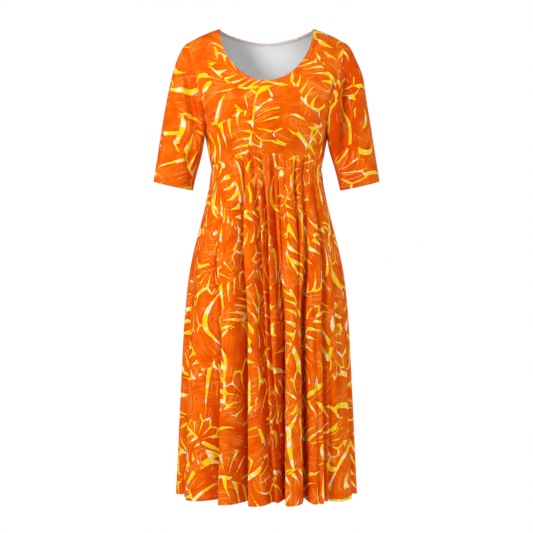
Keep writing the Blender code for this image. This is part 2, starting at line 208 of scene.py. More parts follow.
# Soft creases of the bodice and the sleeves, in millimetres seen from the front: where each runs, how deep
# it is and half its width. Two low ridges run beside each.
Crease = namedtuple("Crease", "start end depth half_width")
BODICE_CREASES = {
    "front": (
        Crease((176, -118), (146, -196), 4.6, 8),
        Crease((168, -150), (120, -196), 2.2, 8),
        Crease((150, -232), (112, -206), 2.8, 9),
        Crease((146, -262), (128, -318), 2.0, 8),
        Crease((-178, -118), (-148, -214), 6.0, 8),
        Crease((-166, -158), (-126, -204), 2.6, 8),
        Crease((-150, -240), (-104, -222), 2.8, 9),
        Crease((-146, -266), (-124, -322), 2.4, 8),
    ),
    "back": (
        Crease((178, -120), (140, -180), 3.0, 10),
        Crease((152, -236), (100, -214), 2.4, 10),
        Crease((-178, -116), (-142, -186), 3.2, 10),
        Crease((-152, -232), (-104, -206), 2.2, 10),
    ),
}
SLEEVE_CREASES = {
    "left": {
        "front": (
            Crease((-193, -122), (-168, -262), 12.0, 9),
            Crease((-176, -262), (-190, -340), 3.4, 8),
            Crease((-206, -250), (-222, -330), 1.8, 10),
        ),
        "back": (
            Crease((-194, -120), (-168, -230), 5.0, 8),
            Crease((-178, -260), (-196, -330), 2.8, 9),
        ),
    },
    "right": {
        "front": (
            Crease((196, -112), (188, -318), 20.0, 17),
            Crease((212, -226), (222, -318), 2.0, 10),
        ),
        "back": (
            Crease((196, -118), (168, -232), 5.0, 8),
            Crease((176, -262), (194, -334), 3.0, 9),
        ),
    },
}
CREASE_OVERRUN = 0.25  # shares of a crease's length: beyond its ends, and to fade in and out
CREASE_STARTS = 0.4
CREASE_ENDS = 0.6
RIDGE_HEIGHT = 0.42  # against the crease's depth
RIDGE_AT = 1.5  # half widths from the crease's middle
CREASE_FROM_ARMHOLE = 9 * MM
CREASE_FROM_CUFF = 40 * MM
CALM_AT_WAIST = 2  # rows of the bodice over which creases set in
CALM_AT_SHOULDER = 3
CALM_AT_SIDE = 0.06  # share of the way across

# The inner part of each sleeve, where it lies against the body, gets painted shade: a deeper orange, strong
# on the right sleeve and weak on the left.
SLEEVE_SHADE_TO = 236 * MM
SLEEVE_SHADE_REACH = 50 * MM
SLEEVE_SHADE = {"left": 0.2, "right": 1.0}

# Mesh counts. The bodice's rows are counted in steps: up its centre, its side and in all.
BODICE_COLUMNS = 66
ROWS_PER_STEP = 6
CENTRE_ROWS = 7
SIDE_ROWS = 4
BODICE_ROWS = 16
COLUMN_CROWDING = 1.25  # towards the side
SKIRT_COLUMNS = 348
SKIRT_ROWS = 118
SLEEVE_COLUMNS = 160
SLEEVE_ROWS = 104
FLAT_COLUMNS = 33
FLAT_ROWS = 15

# Row of the bodice that a sleeve's columns start from, at shares of the way up the armhole.
ARMHOLE_RISE = (0, 11 / 13, 12 / 13, 1)
ARMHOLE_ROWS = (SIDE_ROWS, 15, 15.67, BODICE_ROWS)

# How many millimetres along the cloth from its edge, and inwards, each row of a finished edge lies.
EdgeRow = namedtuple("EdgeRow", "along inwards")
SEAM_EDGE = [EdgeRow(*row) for row in ((0, 3.2), (0, 0.8), (0.12, 0.24), (0.45, 0.06), (1.0, 0))]
TURNED_EDGE = [
    EdgeRow(*row)
    for row in (
        (12, 1.25), (8, 1.25), (4, 1.25), (1.2, 1.22), (0.35, 1.0), (0, 0.6), (0.3, 0.2), (1.1, 0),
    )
]
NECK_TURNED_IN = 7
NECK_EDGE = [EdgeRow(min(row.along, NECK_TURNED_IN), row.inwards) for row in TURNED_EDGE[1:]]

# The print's motifs, in metres where its scale is 1: sweeping strokes, fans and leaves.
PRINT_BASE = 0.15  # motif size at which the scale is 1
ARC_SPACING = 0.135
ARC_MIDDLE = 0.055
ARC_SCATTER = 0.05
ARC_PITCH = 0.031
ARC_HALF_WIDTH = 0.0056
ARC_SWELL = 0.55  # shares of the half width: how far it varies, and its middle
ARC_OPEN = 0.29
LINES_TO_AN_ARC = 3.0
LINE_HALF_WIDTH = 0.00045
FAN_SPACING = 0.150
FAN_RADIUS = 0.046
FAN_RADIUS_RANGE = 0.020
FAN_PETALS = 13.0
FAN_HALF_ANGLE = 2.45
FAN_STROKE = 0.0034
FAN_STROKE_START = 0.0005
LEAF_SPACING = 0.155
LEAF_HALF_LENGTH = 0.078
LEAF_HALF_BREADTH = 0.036
LEAF_RIB = 0.0036
NOTCH_PITCH = 0.0205
MOTIF_GAP = 0.0042

# How the paint lies, in metres where the print's scale is 1. It drifts, its edges are ragged and broken,
# and brush streaks and soft patches vary its colours.
DRIFT_SIZE = 0.11
DRIFT = 0.05
RAGGED_SIZE = 0.005
RAGGED = 0.0016
WOBBLE_SIZE = 0.045
BREAK_SIZE = 0.035
BREAK_DEPTH = 0.05
BRUSH_SPACING = 0.09
BRUSH_STRETCH = 0.10
STREAK_SIZE = 0.0055
SOFT_SIZE = 0.030
RIM_WIDTH = 0.0040
LINE_PATCH_SIZE = 0.03
CREAM_PATCH_SIZE = 0.015

# Where each kind of paint starts in its noise, and how quickly it sets in.
HEAVY = (0.54, -5.0)
LOADED = (0.47, -8.0)
THIN = (0.54, 9.0)
RUBBED = (0.42, 4.0)
LINED = (0.53, 10.0)
CREAMY = (0.53, 8.0)

# Soft steps at the paint's edges, and the knit and the thread, in metres.
MOTIF_EDGE = 0.0006
STROKE_EDGE = 0.0007
PRINT_GRAIN = 0.0011
REVERSE_GRAIN = 0.0012
RIB_PITCH = 0.0009
RIB_HEIGHT = 0.000012
GRAIN_HEIGHT = 0.00003
GROOVE_HALF_WIDTH = 0.0009
PRESSED_OUTSIDE = 0.00016  # depth of the groove that the stitching presses into each side of the cloth
PRESSED_INSIDE = 0.00003
TWIST_PITCH = 0.0006

# Where each panel lies on the printed cloth, in metres, and the stitches that it carries.
PRINT_PLACES = {
    "bodice_front": (0.0, 0.0),
    "bodice_back": (2.37, 1.13),
    "skirt_front": (4.61, 3.29),
    "skirt_back": (7.83, 5.41),
    "sleeve_left": (3.31, 2.24),
    "sleeve_right": (6.43, 1.72),
}
STITCHES = {
    "bodice_front": "stitches_neck_front",
    "bodice_back": "stitches_neck_back",
    "skirt_front": "stitches_hem_front",
    "skirt_back": "stitches_hem_back",
    "sleeve_left": "stitches_cuff_left",
    "sleeve_right": "stitches_cuff_right",
}
STITCH_LIFT = 0.35  # share of the thread's thickness that it stands proud

# The studio. Each soft lamp has its place, aim and size in metres and the angle of its beam in degrees.
Lamp = namedtuple("Lamp", "place aim size spread")
LAMPS = {
    "key": Lamp((-1.7, -2.1, 0.45), (-0.25, 0, -0.6), 1.05, 80),
    "fill": Lamp((1.2, -3.8, 0.4), (0, 0, -0.6), 2.0, 180),
    "side": Lamp((3.6, -0.9, 0.2), (0, 0, -0.6), 1.5, 180),
    "edge": Lamp((-3.6, -0.9, 0.2), (0, 0, -0.6), 1.5, 180),
    "neck": Lamp((1.0, -2.2, 1.0), (-0.11, 0.05, -0.1), 0.4, 5),
    "rear": Lamp((0.6, 4.0, 0.9), (0, 0, -0.6), 2.0, 180),
}
SENSOR_WIDTH = 36
FLOOR_CORNERS = 96


def colour_setting(name, description, default):
    """A colour that a user may change."""
    return FloatVectorProperty(
        name=name, description=description, default=default, subtype="COLOR", size=3, min=0, max=1,
    )


def length_setting(name, description, default, least, most):
    """A size that a user may change, in metres."""
    return FloatProperty(
        name=name, description=description, default=default, min=least, max=most, unit="LENGTH",
    )


def power_setting(name, description, default, most=2000):
    """A lamp's power that a user may change."""
    return FloatProperty(
        name=name, description=description, default=default, min=0, max=most, unit="POWER",
    )


class DressCloth(bpy.types.PropertyGroup):
    """Colours, print and surface of the cloth."""

    orange: colour_setting("Orange", "Main colour of the printed shapes", (0.77, 0.122, 0.001))
    light_orange: colour_setting("Light orange", "Thinly painted places", (0.82, 0.310, 0.045))
    pale_line: colour_setting("Pale line", "Fine painted lines in the shapes", (0.85, 0.45, 0.12))
    # Deep orange is also used as painted shade in the skirt's folds and on the sleeves' inner sides.
    deep_orange: colour_setting("Deep orange", "Heavily painted places", (0.66, 0.060, 0.0005))
    yellow: colour_setting("Yellow", "Open places between the shapes", (0.82, 0.555, 0.01))
    cream: colour_setting("Cream", "Palest open places", (0.82, 0.72, 0.47))
    reverse: colour_setting("Reverse", "Unprinted inner side of the cloth", (0.80, 0.80, 0.80))
    thread: colour_setting("Thread", "Sewing thread", (0.9, 0.16, 0.012))
    thickness: length_setting(
        "Cloth thickness", "Wall of one layer of cloth", default=0.00055, least=0.0002, most=0.002,
    )
    motif_size: length_setting(
        "Motif size", "Scale of the whole print", default=0.215, least=0.02, most=0.5,
    )
    roughness: FloatProperty(
        name="Roughness", description="Roughness of the printed side",
        min=0, max=1, default=0.6,
    )


class DressStitching(bpy.types.PropertyGroup):
    """Sizes of the stitch lines on hem, cuffs and neckline."""

    hem_depth: length_setting(
        "Hem stitch line", "Distance of the stitch line from hem and cuff",
        default=0.009, least=0.002, most=0.05,
    )
    neck_depth: length_setting(
        "Neck stitch line", "Distance of the stitch line from the neckline",
        default=0.0055, least=0.002, most=0.05,
    )
    pitch: length_setting(
        "Stitch pitch", "From the start of one stitch to the next", default=0.003, least=0.001, most=0.01,
    )
    length: length_setting(
        "Stitch length", "Length of one stitch", default=0.0023, least=0.0005, most=0.01,
    )
    thread_diameter: length_setting(
        "Thread diameter", "Thickness of the sewing thread", default=0.00035, least=0.0001, most=0.002,
    )


class DressStudio(bpy.types.PropertyGroup):
    """Camera, floor and light."""

    camera_distance: length_setting(
        "Camera distance", "From the camera to the middle of the dress", default=4.0, least=1, most=20,
    )
    camera_height: length_setting(
        "Camera height", "Height of the camera against the neck points", default=-0.582, least=-3, most=3,
    )
    focal_length: FloatProperty(
        name="Focal length", description="Focal length on a 36 mm wide sensor, in millimetres",
        min=10, max=400, default=110.28,
    )
    floor_height: length_setting(
        "Floor height", "Height of the floor against the neck points", default=-1.42, least=-4, most=0,
    )
    key_power: power_setting("Key light", "Power of the soft main light", default=15.1)
    fill_power: power_setting("Fill light", "Power of the weak light from the other side", default=46)
    side_power: power_setting(
        "Side light", "Power of the light on the side that faces away from the main light", default=75,
    )
    edge_power: power_setting(
        "Edge light", "Power of the light on the side that faces the main light", default=18,
    )
    neck_power: power_setting(
        "Neck light", "Power of the narrow light that reaches into the neck", default=0.08, most=100,
    )
    rear_power: power_setting("Rear light", "Power of the light behind the dress", default=90)
    surround: FloatProperty(
        name="Surround", description="Strength of the light from all round",
        min=0, max=5, default=0.13,
    )


def blend(start, end, share):
    """A value this share of the way from start to end."""
    return start + (end - start) * share


def eased(share):
    """A share from 0 to 1 that leaves 0 and reaches 1 gently."""
    share = np.clip(share, 0.0, 1.0)
    return share * share * (3 - 2 * share)


def unit(vectors):
    """The same directions with a length of 1."""
    return vectors / np.maximum(np.linalg.norm(vectors, axis=-1, keepdims=True), 1e-12)


def curve(t, start, leaving, end, arriving):
    """The smooth curve from start to end that leaves and arrives in these directions."""
    return (
        (2 * t**3 - 3 * t**2 + 1) * start
        + (t**3 - 2 * t**2 + t) * leaving
        + (3 * t**2 - 2 * t**3) * end
        + (t**3 - t**2) * arriving
    )


def smooth_read(knots, values, at):
    """Values at knots read in between, on a smooth curve that never overshoots them."""
    knots, values = np.array(knots), np.array(values, float)
    steps = np.diff(knots)
    slopes = np.diff(values) / steps
    together = slopes[:-1] * slopes[1:]
    inner = np.where(together > 0, 2 * together / (slopes[:-1] + slopes[1:] + 1e-12), 0.0)
    tangents = np.concatenate(([slopes[0]], inner, [slopes[-1]]))
    at = np.clip(at, knots[0], knots[-1])
    i = np.clip(np.searchsorted(knots, at, side="right") - 1, 0, len(steps) - 1)
    leaving, arriving = steps[i] * tangents[i], steps[i] * tangents[i + 1]
    return curve((at - knots[i]) / steps[i], values[i], leaving, values[i + 1], arriving)


def column_at(table, column, height):
    """A column of a table read at heights, on a smooth curve that never overshoots its rows."""
    rows = sorted(table, key=lambda row: row.height)
    return smooth_read([row.height for row in rows], [getattr(row, column) for row in rows], height)


def shoulder_height(x):
    """Height of the shoulder line, which slopes and curves down from the neck point."""
    beyond_neck = x - NECK_HALF_WIDTH
    return -SHOULDER_SLOPE * beyond_neck - SHOULDER_CURVE * np.maximum(beyond_neck, 0) ** 2


def waist_height(angle, panel):
    """Height of the waist seam at degrees from a panel's middle."""
    return blend(WAIST_MIDDLE[panel], WAIST_SIDE, (np.abs(angle) / 90) ** WAIST_POWER)


def torso_depth(x, z, panel):
    """How far the bodice stands out to the front or the back of the side seams."""
    half_width = column_at(SECTIONS, "half_width", z)
    depth = column_at(SECTIONS, panel, z)
    below = np.clip((shoulder_height(x) - z) / SHOULDER_ROUND[panel], 0.0, 1.0)
    over_shoulder = np.sqrt(1 - (1 - below) ** 2)
    across = np.minimum(x / half_width, 1.0)
    return depth * (1 - across**SECTION_POWER) ** (1 / SECTION_POWER) * over_shoulder


def row_start(row, panel):
    """Where rows of the bodice start: on the centre line, then on the neckline."""
    up_centre = blend(WAIST_MIDDLE[panel], -NECK_DROP[panel], row / CENTRE_ROWS)
    share = np.clip((row - CENTRE_ROWS) / (BODICE_ROWS - CENTRE_ROWS), 0, 1)
    turn = np.radians(90) * (1 - (1 - share) ** NECK_TOP_SPACING)
    power = 2 / NECK_POWER[panel]
    x = NECK_HALF_WIDTH * np.sin(turn) ** power
    z = -NECK_DROP[panel] * np.maximum(np.cos(turn), 0.0) ** power
    on_centre = row <= CENTRE_ROWS
    return np.where(on_centre, 0.0, x), np.where(on_centre, up_centre, z)


def row_end(row, panel):
    """Where rows of the bodice end: on the side seam, then on the armhole."""
    side_z = blend(WAIST_SIDE, UNDERARM, row / SIDE_ROWS)
    share = np.clip((row - SIDE_ROWS) / (BODICE_ROWS - SIDE_ROWS), 0, 1)
    arm_z = blend(UNDERARM, shoulder_height(SHOULDER_TIP_X), np.sin(np.radians(90) * share))
    on_side = row <= SIDE_ROWS
    z = np.where(on_side, side_z, arm_z)
    x = np.where(on_side, column_at(SECTIONS, "half_width", side_z), column_at(ARMHOLE, panel, arm_z))
    return x, z


def bodice_points(row, share, panel):
    """Points of the right half of the bodice, for rows counted up from the waist and shares across."""
    start_x, start_z = row_start(row, panel)
    end_x, end_z = row_end(row, panel)
    reach = np.maximum(column_at(SECTIONS, "half_width", end_z), end_x)
    first = np.arcsin((start_x / reach) ** (SECTION_POWER / 2))
    last = np.arcsin(np.minimum((end_x / reach) ** (SECTION_POWER / 2), 1.0))
    x = reach * np.maximum(np.sin(blend(first, last, share)), 0) ** (2 / SECTION_POWER)
    near_waist = 1 - eased(row / CENTRE_ROWS)
    curved = waist_height(90 * share, panel) - blend(WAIST_MIDDLE[panel], WAIST_SIDE, share)
    z = blend(start_z, end_z, share) + curved * near_waist
    wider = column_at(SECTIONS, "half_width", z) / column_at(SECTIONS, "half_width", end_z)
    x = x * blend(1, wider, near_waist)
    near_neck = np.where(
        row < CENTRE_ROWS, row / CENTRE_ROWS, (BODICE_ROWS - row) / (BODICE_ROWS - CENTRE_ROWS)
    )
    z = z + NECK_DIP * near_neck**2 * 4 * share * (1 - share)
    near_shoulder = eased((row - CENTRE_ROWS) / (BODICE_ROWS - CENTRE_ROWS)) ** 2
    straight = blend(0.0, shoulder_height(SHOULDER_TIP_X), share)
    z = z + (shoulder_height(x) - straight) * near_shoulder
    y = torso_depth(x, z, panel)
    return np.stack((x, TOWARDS[panel] * (y + SEAM_GAP / 2), z + SEAM_GAP / 2 * (row == 0)), -1)


def crease_depth(x, z, creases):
    """How far the soft creases push the cloth in at places seen from the front."""
    total = np.zeros(np.broadcast(x, z).shape)
    for crease in creases:
        start = np.array(crease.start) * MM
        run = np.array(crease.end) * MM - start
        length = np.hypot(*run)
        along = ((x - start[0]) * run[0] + (z - start[1]) * run[1]) / length**2
        across = ((x - start[0]) * run[1] - (z - start[1]) * run[0]) / length / (crease.half_width * MM)
        ends = eased((along + CREASE_OVERRUN) / CREASE_STARTS)
        ends = ends * eased((1 + CREASE_OVERRUN - along) / CREASE_ENDS)
        trough = np.exp(-(across**2))
        for side in (1, -1):
            trough = trough - RIDGE_HEIGHT * np.exp(-((across - side * RIDGE_AT) ** 2))
        total += crease.depth * MM * ends * trough
    return total


def trough_depth(angle, fall, panel):
    """How far the troughs pull the cloth in; fall is the share of the way down the skirt."""
    total = 0.0
    for trough in TROUGHS[panel]:
        middle = smooth_read(WAY_DOWN, trough.angles, fall)
        depth = smooth_read(WAY_DOWN, trough.depths, fall) * MM
        away = angle - middle
        spread = np.where(away < 0, trough.left, trough.right)
        total = total + depth * np.exp(-(np.abs(away / spread) ** TROUGH_SHARPNESS))
    return total * (1 - eased((np.abs(angle) - SIDE_CALM_FROM) / SIDE_CALM))


def skirt_points(angle, fall, panel):
    """Points of the skirt at angles from the panel's middle and shares of the way down."""
    depth_in = trough_depth(angle, fall, panel)
    seam = waist_height(angle, panel) - SEAM_GAP / 2
    hem = HEM - HEM_MIDDLE_DROP * (1 - (angle / 90) ** 2) + HEM_LIFT * depth_in
    z = blend(seam, hem, fall)
    below = seam - z
    risen = eased(below / GATHER_RISE)
    puff = PUFF * risen * (1 - eased((below - GATHER_RISE) / PUFF_REACH))
    offset = puff - depth_in * blend(GATHER_AT_SEAM, 1.0, risen)
    turn = np.radians(angle)
    half_width = column_at(SECTIONS, "half_width", z)
    depth = column_at(SECTIONS, panel, z)
    power = 2 / SECTION_POWER
    sine = np.copysign(np.abs(np.sin(turn)) ** power, np.sin(turn))
    cosine = np.maximum(np.cos(turn), 0.0) ** power
    outward = unit(np.stack((np.sin(turn) * depth, np.cos(turn) * half_width), -1))
    lean = FOLD_LEAN[panel] * np.cos(turn) * depth_in * risen
    x = half_width * sine + outward[..., 0] * offset + outward[..., 1] * lean
    y = depth * cosine + outward[..., 1] * offset - outward[..., 0] * lean
    return np.stack((x, TOWARDS[panel] * (y + SEAM_GAP / 2), z), -1)


def armhole_loop():
    """The right armhole, from the underarm up the front, over the tip and down the back."""
    half = SLEEVE_COLUMNS // 2
    rise = np.linspace(0, 1, half + 1)
    row = np.interp(rise, ARMHOLE_RISE, ARMHOLE_ROWS)
    front, back = (bodice_points(row, 1.0, panel) for panel in ("front", "back"))
    for line in (front, back):
        line[0, 1] = line[-1, 1] = 0.0
    return np.concatenate((front, back[-2:0:-1])) + (ARMHOLE_CLEARANCE, 0, 0)


def sleeve_points():
    """Rows of points from the armhole down to the cuff, for the sleeve at the viewer's right."""
    loop = armhole_loop()
    half = len(loop) // 2
    index = np.arange(len(loop))
    rise = 1 - np.abs(index - half) / half
    turn = math.pi * (1 - rise)[:, None]
    end = CUFF_MIDDLE + CUFF_TO_OUTER * np.cos(turn)
    end = end + CUFF_TO_FRONT * np.sin(turn) * np.where(index < half, 1, -1)[:, None]
    length = np.linalg.norm(end - loop, axis=1, keepdims=True)
    over_cap = ((1 - np.cos(math.pi * rise)) / 2)[:, None]
    run = unit(blend(UNDERARM_RUN, SHOULDER_RUN, over_cap))
    leaving = run * length * blend(1.0, CAP_FULLNESS, over_cap)
    t = np.linspace(0, 1, SLEEVE_ROWS + 1)[:, None, None]
    return curve(t, loop, leaving, end, SLEEVE_FALL * length)


def grid_normals(points, closed=False):
    """Unit normals of a grid of points, turned by the order of its rows and columns."""
    down = np.gradient(points, axis=0)
    if closed:
        across = (np.roll(points, -1, axis=1) - np.roll(points, 1, axis=1)) / 2
    else:
        across = np.gradient(points, axis=1)
    return unit(np.cross(across, down))


def lengths_along(points, axis):
    """Distance of every point from the first one of its line along an axis of the grid."""
    steps = np.linalg.norm(np.diff(points, axis=axis), axis=-1)
    start = np.zeros_like(np.take(steps, [0], axis=axis))
    return np.concatenate((start, np.cumsum(steps, axis=axis)), axis=axis)


def read_along(grid, distances, wanted):
    """The grid's values at a distance from its first row, column by column."""
    row = np.clip((distances < wanted).sum(axis=0), 1, len(distances) - 1)
    column = np.arange(distances.shape[1])
    before, after = distances[row - 1, column], distances[row, column]
    share = ((wanted - before) / np.maximum(after - before, 1e-9))[:, None]
    return blend(grid[row - 1, column], grid[row, column], share)


def edge_rows(points, uv, edge, outwards):
    """The rows of a sewn or turned edge before the first row of a grid: points, UVs and distances."""
    distances = lengths_along(points, 0)
    normals = unit(grid_normals(points)[1]) * outwards
    new_points, new_uv, from_edge = [], [], []
    for row in edge:
        depth = row.along * MM
        new_points.append(read_along(points, distances, depth) - normals * row.inwards * MM)
        new_uv.append(read_along(uv, distances, depth))
        from_edge.append(np.full(points.shape[1], depth))
    return np.array(new_points), np.array(new_uv), np.array(from_edge)


def finish_edge(sheet, edge, outwards, free=False):
    """Adds the rows of a sewn or turned edge before the first row of a sheet."""
    points, uv, from_edge = sheet
    distances = lengths_along(points, 0)
    new_points, new_uv, new_from = edge_rows(points, uv, edge, outwards)
    if free:
        from_edge = np.minimum(from_edge, distances)
    else:
        new_from = np.full(new_from.shape, FAR_FROM_EDGE)
    keep = 1
    while distances[keep].min() <= edge[-1].along * MM:
        keep += 1
    return (
        np.concatenate((new_points, points[keep:])),
        np.concatenate((new_uv, uv[keep:])),
        np.concatenate((new_from, from_edge[keep:])),
    )


def finish_last_edge(sheet, edge, outwards, free=False):
    """Adds the rows of a sewn or turned edge after the last row of a sheet."""
    return reversed_grid(finish_edge(reversed_grid(sheet), edge, outwards, free))


def turned_grid(sheet):
    """The same sheet with its rows and columns exchanged."""
    return tuple(np.swapaxes(part, 0, 1) for part in sheet)


def reversed_grid(sheet):
    """The same sheet with its rows in the opposite order."""
    return tuple(part[::-1] for part in sheet)


def numbered(shape, first=0):
    """A grid of vertex numbers."""
    return np.arange(math.prod(shape)).reshape(shape) + first


def grid_faces(index, closed=False):
    """Four-cornered faces between the rows of a grid of vertex numbers."""
    if closed:
        index = np.concatenate((index, index[:, :1]), axis=1)
    corners = (index[:-1, :-1], index[:-1, 1:], index[1:, 1:], index[1:, :-1])
    return np.stack(corners, -1).reshape(-1, 4)


def laid_flat(points):
    """Lays an open grid of points flat with its angles kept, as its cut lies: across and up, in metres."""
    rows = np.linspace(0, len(points) - 1, FLAT_ROWS).round().astype(int)
    columns = np.linspace(0, points.shape[1] - 1, FLAT_COLUMNS).round().astype(int)
    index = numbered((FLAT_ROWS, FLAT_COLUMNS))

    # Each triangle in its own plane, as complex numbers: the flat one may only be turned and scaled.
    quads = grid_faces(index)
    corners = np.concatenate((quads[:, :3], quads[:, (0, 2, 3)]))
    place = points[np.ix_(rows, columns)].reshape(-1, 3)[corners]
    first, second = place[:, 1] - place[:, 0], place[:, 2] - place[:, 0]
    base = np.linalg.norm(first, axis=1)
    double_area = np.linalg.norm(np.cross(first, second), axis=1)
    apex = ((first * second).sum(axis=1) + 1j * double_area) / base
    sides = np.stack((apex - base, -apex, base), -1) / np.sqrt(double_area)[:, None]
    equations = np.zeros((len(corners), index.size), complex)
    np.put_along_axis(equations, corners, sides, axis=1)

    # The ends of the middle column are pinned, and the rest is solved.
    middle = FLAT_COLUMNS // 2
    pinned = index[(0, -1), (middle, middle)]
    length = lengths_along(points, 0)[-1, columns[middle]]
    known = equations[:, pinned[1]] * (1j * length)
    free = np.setdiff1d(index, pinned)
    flat = np.zeros(index.size, complex)
    flat[pinned[1]] = 1j * length
    flat[free] = np.linalg.lstsq(equations[:, free], -known, rcond=None)[0]

    # The whole is scaled to the cloth's true area and read back at every row and column.
    one, two = flat[corners[:, 1]] - flat[corners[:, 0]], flat[corners[:, 2]] - flat[corners[:, 0]]
    flat = flat * np.sqrt(double_area.sum() / np.abs((one.conj() * two).imag).sum())
    flat = flat.reshape(index.shape)
    flat = np.array([np.interp(np.arange(points.shape[1]), columns, line) for line in flat])
    flat = np.array([np.interp(np.arange(len(points)), rows, line) for line in flat.T]).T
    return np.stack((flat.real, -flat.imag), -1)


def scene_object(name, data):
    """A new object in the scene."""
    made = bpy.data.objects.new(name, data)
    bpy.context.scene.collection.objects.link(made)
    return made


def point_values(mesh, name, values):
    """Gives a mesh one number at each of its points."""
    attribute = mesh.attributes.new(name, "FLOAT", "POINT")
    attribute.data.foreach_set("value", values.astype(np.float32).ravel())


def cloth_object(name, points, faces, uv, from_edge, uv_faces=None):
    """A mesh object from plain arrays, with its UV map in metres of flat cloth."""
    mesh = bpy.data.meshes.new(name)
    mesh.from_pydata(points.reshape(-1, 3).tolist(), [], faces.tolist())
    layer = mesh.uv_layers.new(name=UV_MAP)
    corners = uv.reshape(-1, 2)[faces.reshape(-1) if uv_faces is None else uv_faces.reshape(-1)]
    layer.data.foreach_set("uv", corners.astype(np.float32).ravel())
    point_values(mesh, EDGE_DISTANCE, from_edge)
    mesh.shade_smooth()
    mesh.update()
    return scene_object(name, mesh)


def flat_size(uv, faces):
    """Width, length and area of the cut, read from the UV map."""
    uv = uv.reshape(-1, 2)
    corner = uv[faces]
    a, b = corner[:, 2] - corner[:, 0], corner[:, 3] - corner[:, 1]
    area = np.abs(a[:, 0] * b[:, 1] - a[:, 1] * b[:, 0]).sum() / 2
    size = uv.max(axis=0) - uv.min(axis=0)
    return float(size[0]), float(size[1]), float(area)


def new_node(tree, kind, settings, inputs):
    """Adds a node to a tree: its settings first, then the values or links of its sockets."""
    node = tree.nodes.new(kind)
    for name, value in settings.items():
        setattr(node, name, value)
    for key, item in inputs.items():
        item = item.socket if isinstance(item, Value) else item
        if isinstance(item, bpy.types.NodeSocket):
            tree.links.new(item, node.inputs[key])
        else:
            node.inputs[key].default_value = item
    return node


class Value:
    """A number that varies over a surface, wrapped so that an expression adds its Math nodes."""

    def __init__(self, tree, socket):
        self.tree = tree
        self.socket = socket

    def worked_out(self, operation, items, clamp=False):
        """The value of a new Math node on these values and numbers."""
        settings = {"operation": operation, "use_clamp": clamp}
        node = new_node(self.tree, "ShaderNodeMath", settings, dict(enumerate(items)))
        return Value(self.tree, node.outputs[0])

    def math(self, operation, *others, clamp=False):
        return self.worked_out(operation, (self, *others), clamp)

    def __add__(self, other):
        return self.math("ADD", other)

    def __sub__(self, other):
        return self.math("SUBTRACT", other)

    def __rsub__(self, other):
        return self.worked_out("SUBTRACT", (other, self))

    def __mul__(self, other):
        return self.math("MULTIPLY", other)

    def __truediv__(self, other):
        return self.math("DIVIDE", other)

    def __rtruediv__(self, other):
        return self.worked_out("DIVIDE", (other, self))

    def __pow__(self, other):
        return self.math("POWER", other)

    def __abs__(self):
        return self.math("ABSOLUTE")

    __radd__ = __add__
    __rmul__ = __mul__

    def at_least(self, other):
        return self.math("MAXIMUM", other)

    def at_most(self, other):
        return self.math("MINIMUM", other)

    def inside(self, softness):
        """1 where a distance is above zero, 0 below, with a soft step of this width."""
        return (self / softness).math("ADD", 0.5, clamp=True)

    def beyond(self, start, slope):
        """0 up to the start, then rising to 1 by this slope; below it instead where the slope falls."""
        return (self - start).math("MULTIPLY", slope, clamp=True)


def polar(x, y):
    """Distance from the middle of a field and angle round it."""
    return (x * x + y * y).math("SQRT"), y.math("ARCTAN2", x)


class Shader:
    """The node tree of one material, built up from expressions."""

    def __init__(self, name, surface):
        self.material = bpy.data.materials.new(name)
        self.material.use_nodes = True
        self.tree = self.material.node_tree
        self.surface = self.tree.nodes["Principled BSDF"]
        for socket, value in surface.items():
            self.surface.inputs[socket].default_value = value

    def node(self, kind, settings, inputs, output=0):
        """One output of a new node."""
        return Value(self.tree, new_node(self.tree, kind, settings, inputs).outputs[output])

    def vector(self, operation, *items):
        return self.node("ShaderNodeVectorMath", {"operation": operation}, dict(enumerate(items)))

    def scaled(self, vector, factor):
        return self.node("ShaderNodeVectorMath", {"operation": "SCALE"}, {0: vector, "Scale": factor})

    def split(self, vector):
        parts = new_node(self.tree, "ShaderNodeSeparateXYZ", {}, {0: vector})
        return [Value(self.tree, part) for part in parts.outputs]

    def flat_cloth(self):
        """Places on the flat cut of a piece, in metres."""
        return self.node("ShaderNodeUVMap", {"uv_map": UV_MAP}, {})

    def point_value(self, name):
        """The number that a mesh has at its points."""
        return self.node("ShaderNodeAttribute", {"attribute_name": name}, {}, "Fac")

    def mix(self, share, first, second):
        """A colour between two others, each a plain colour or a value."""
        first, second = (c if isinstance(c, Value) else (*c, 1.0) for c in (first, second))
        return self.node("ShaderNodeMix", {"data_type": "RGBA"}, {0: share, 6: first, 7: second}, 2)

    def noise(self, vector, size, detail=2.0, output=0, roughness=0.5):
        """Noise from 0 to 1 with patches of this size in metres."""
        sockets = {"Vector": vector, "Scale": 1 / size, "Detail": detail, "Roughness": roughness}
        return self.node("ShaderNodeTexNoise", {"noise_dimensions": "2D"}, sockets, output)

    def feed(self, socket, value):
        self.tree.links.new(value.socket, self.surface.inputs[socket])


class Motifs:
    """One layer of scattered motifs: the place within a motif's own field, turned at random."""

    def __init__(self, shader, place, spacing, randomness, shift):
        moved = shader.vector("ADD", place, shift)
        cells = new_node(
            shader.tree, "ShaderNodeTexVoronoi", {"voronoi_dimensions": "2D", "feature": "F1"},
            {"Vector": moved, "Scale": 1 / spacing, "Randomness": randomness},
        ).outputs
        chances = new_node(shader.tree, "ShaderNodeSeparateColor", {}, {0: cells["Color"]}).outputs
        self.first, self.second, self.third = (Value(shader.tree, chance) for chance in chances)
        away_x, away_y, _ = shader.split(shader.vector("SUBTRACT", moved, cells["Position"]))
        turn = self.first * (2 * math.pi)
        cosine, sine = turn.math("COSINE"), turn.math("SINE")
        self.x = away_x * cosine + away_y * sine
        self.y = away_y * cosine - away_x * sine


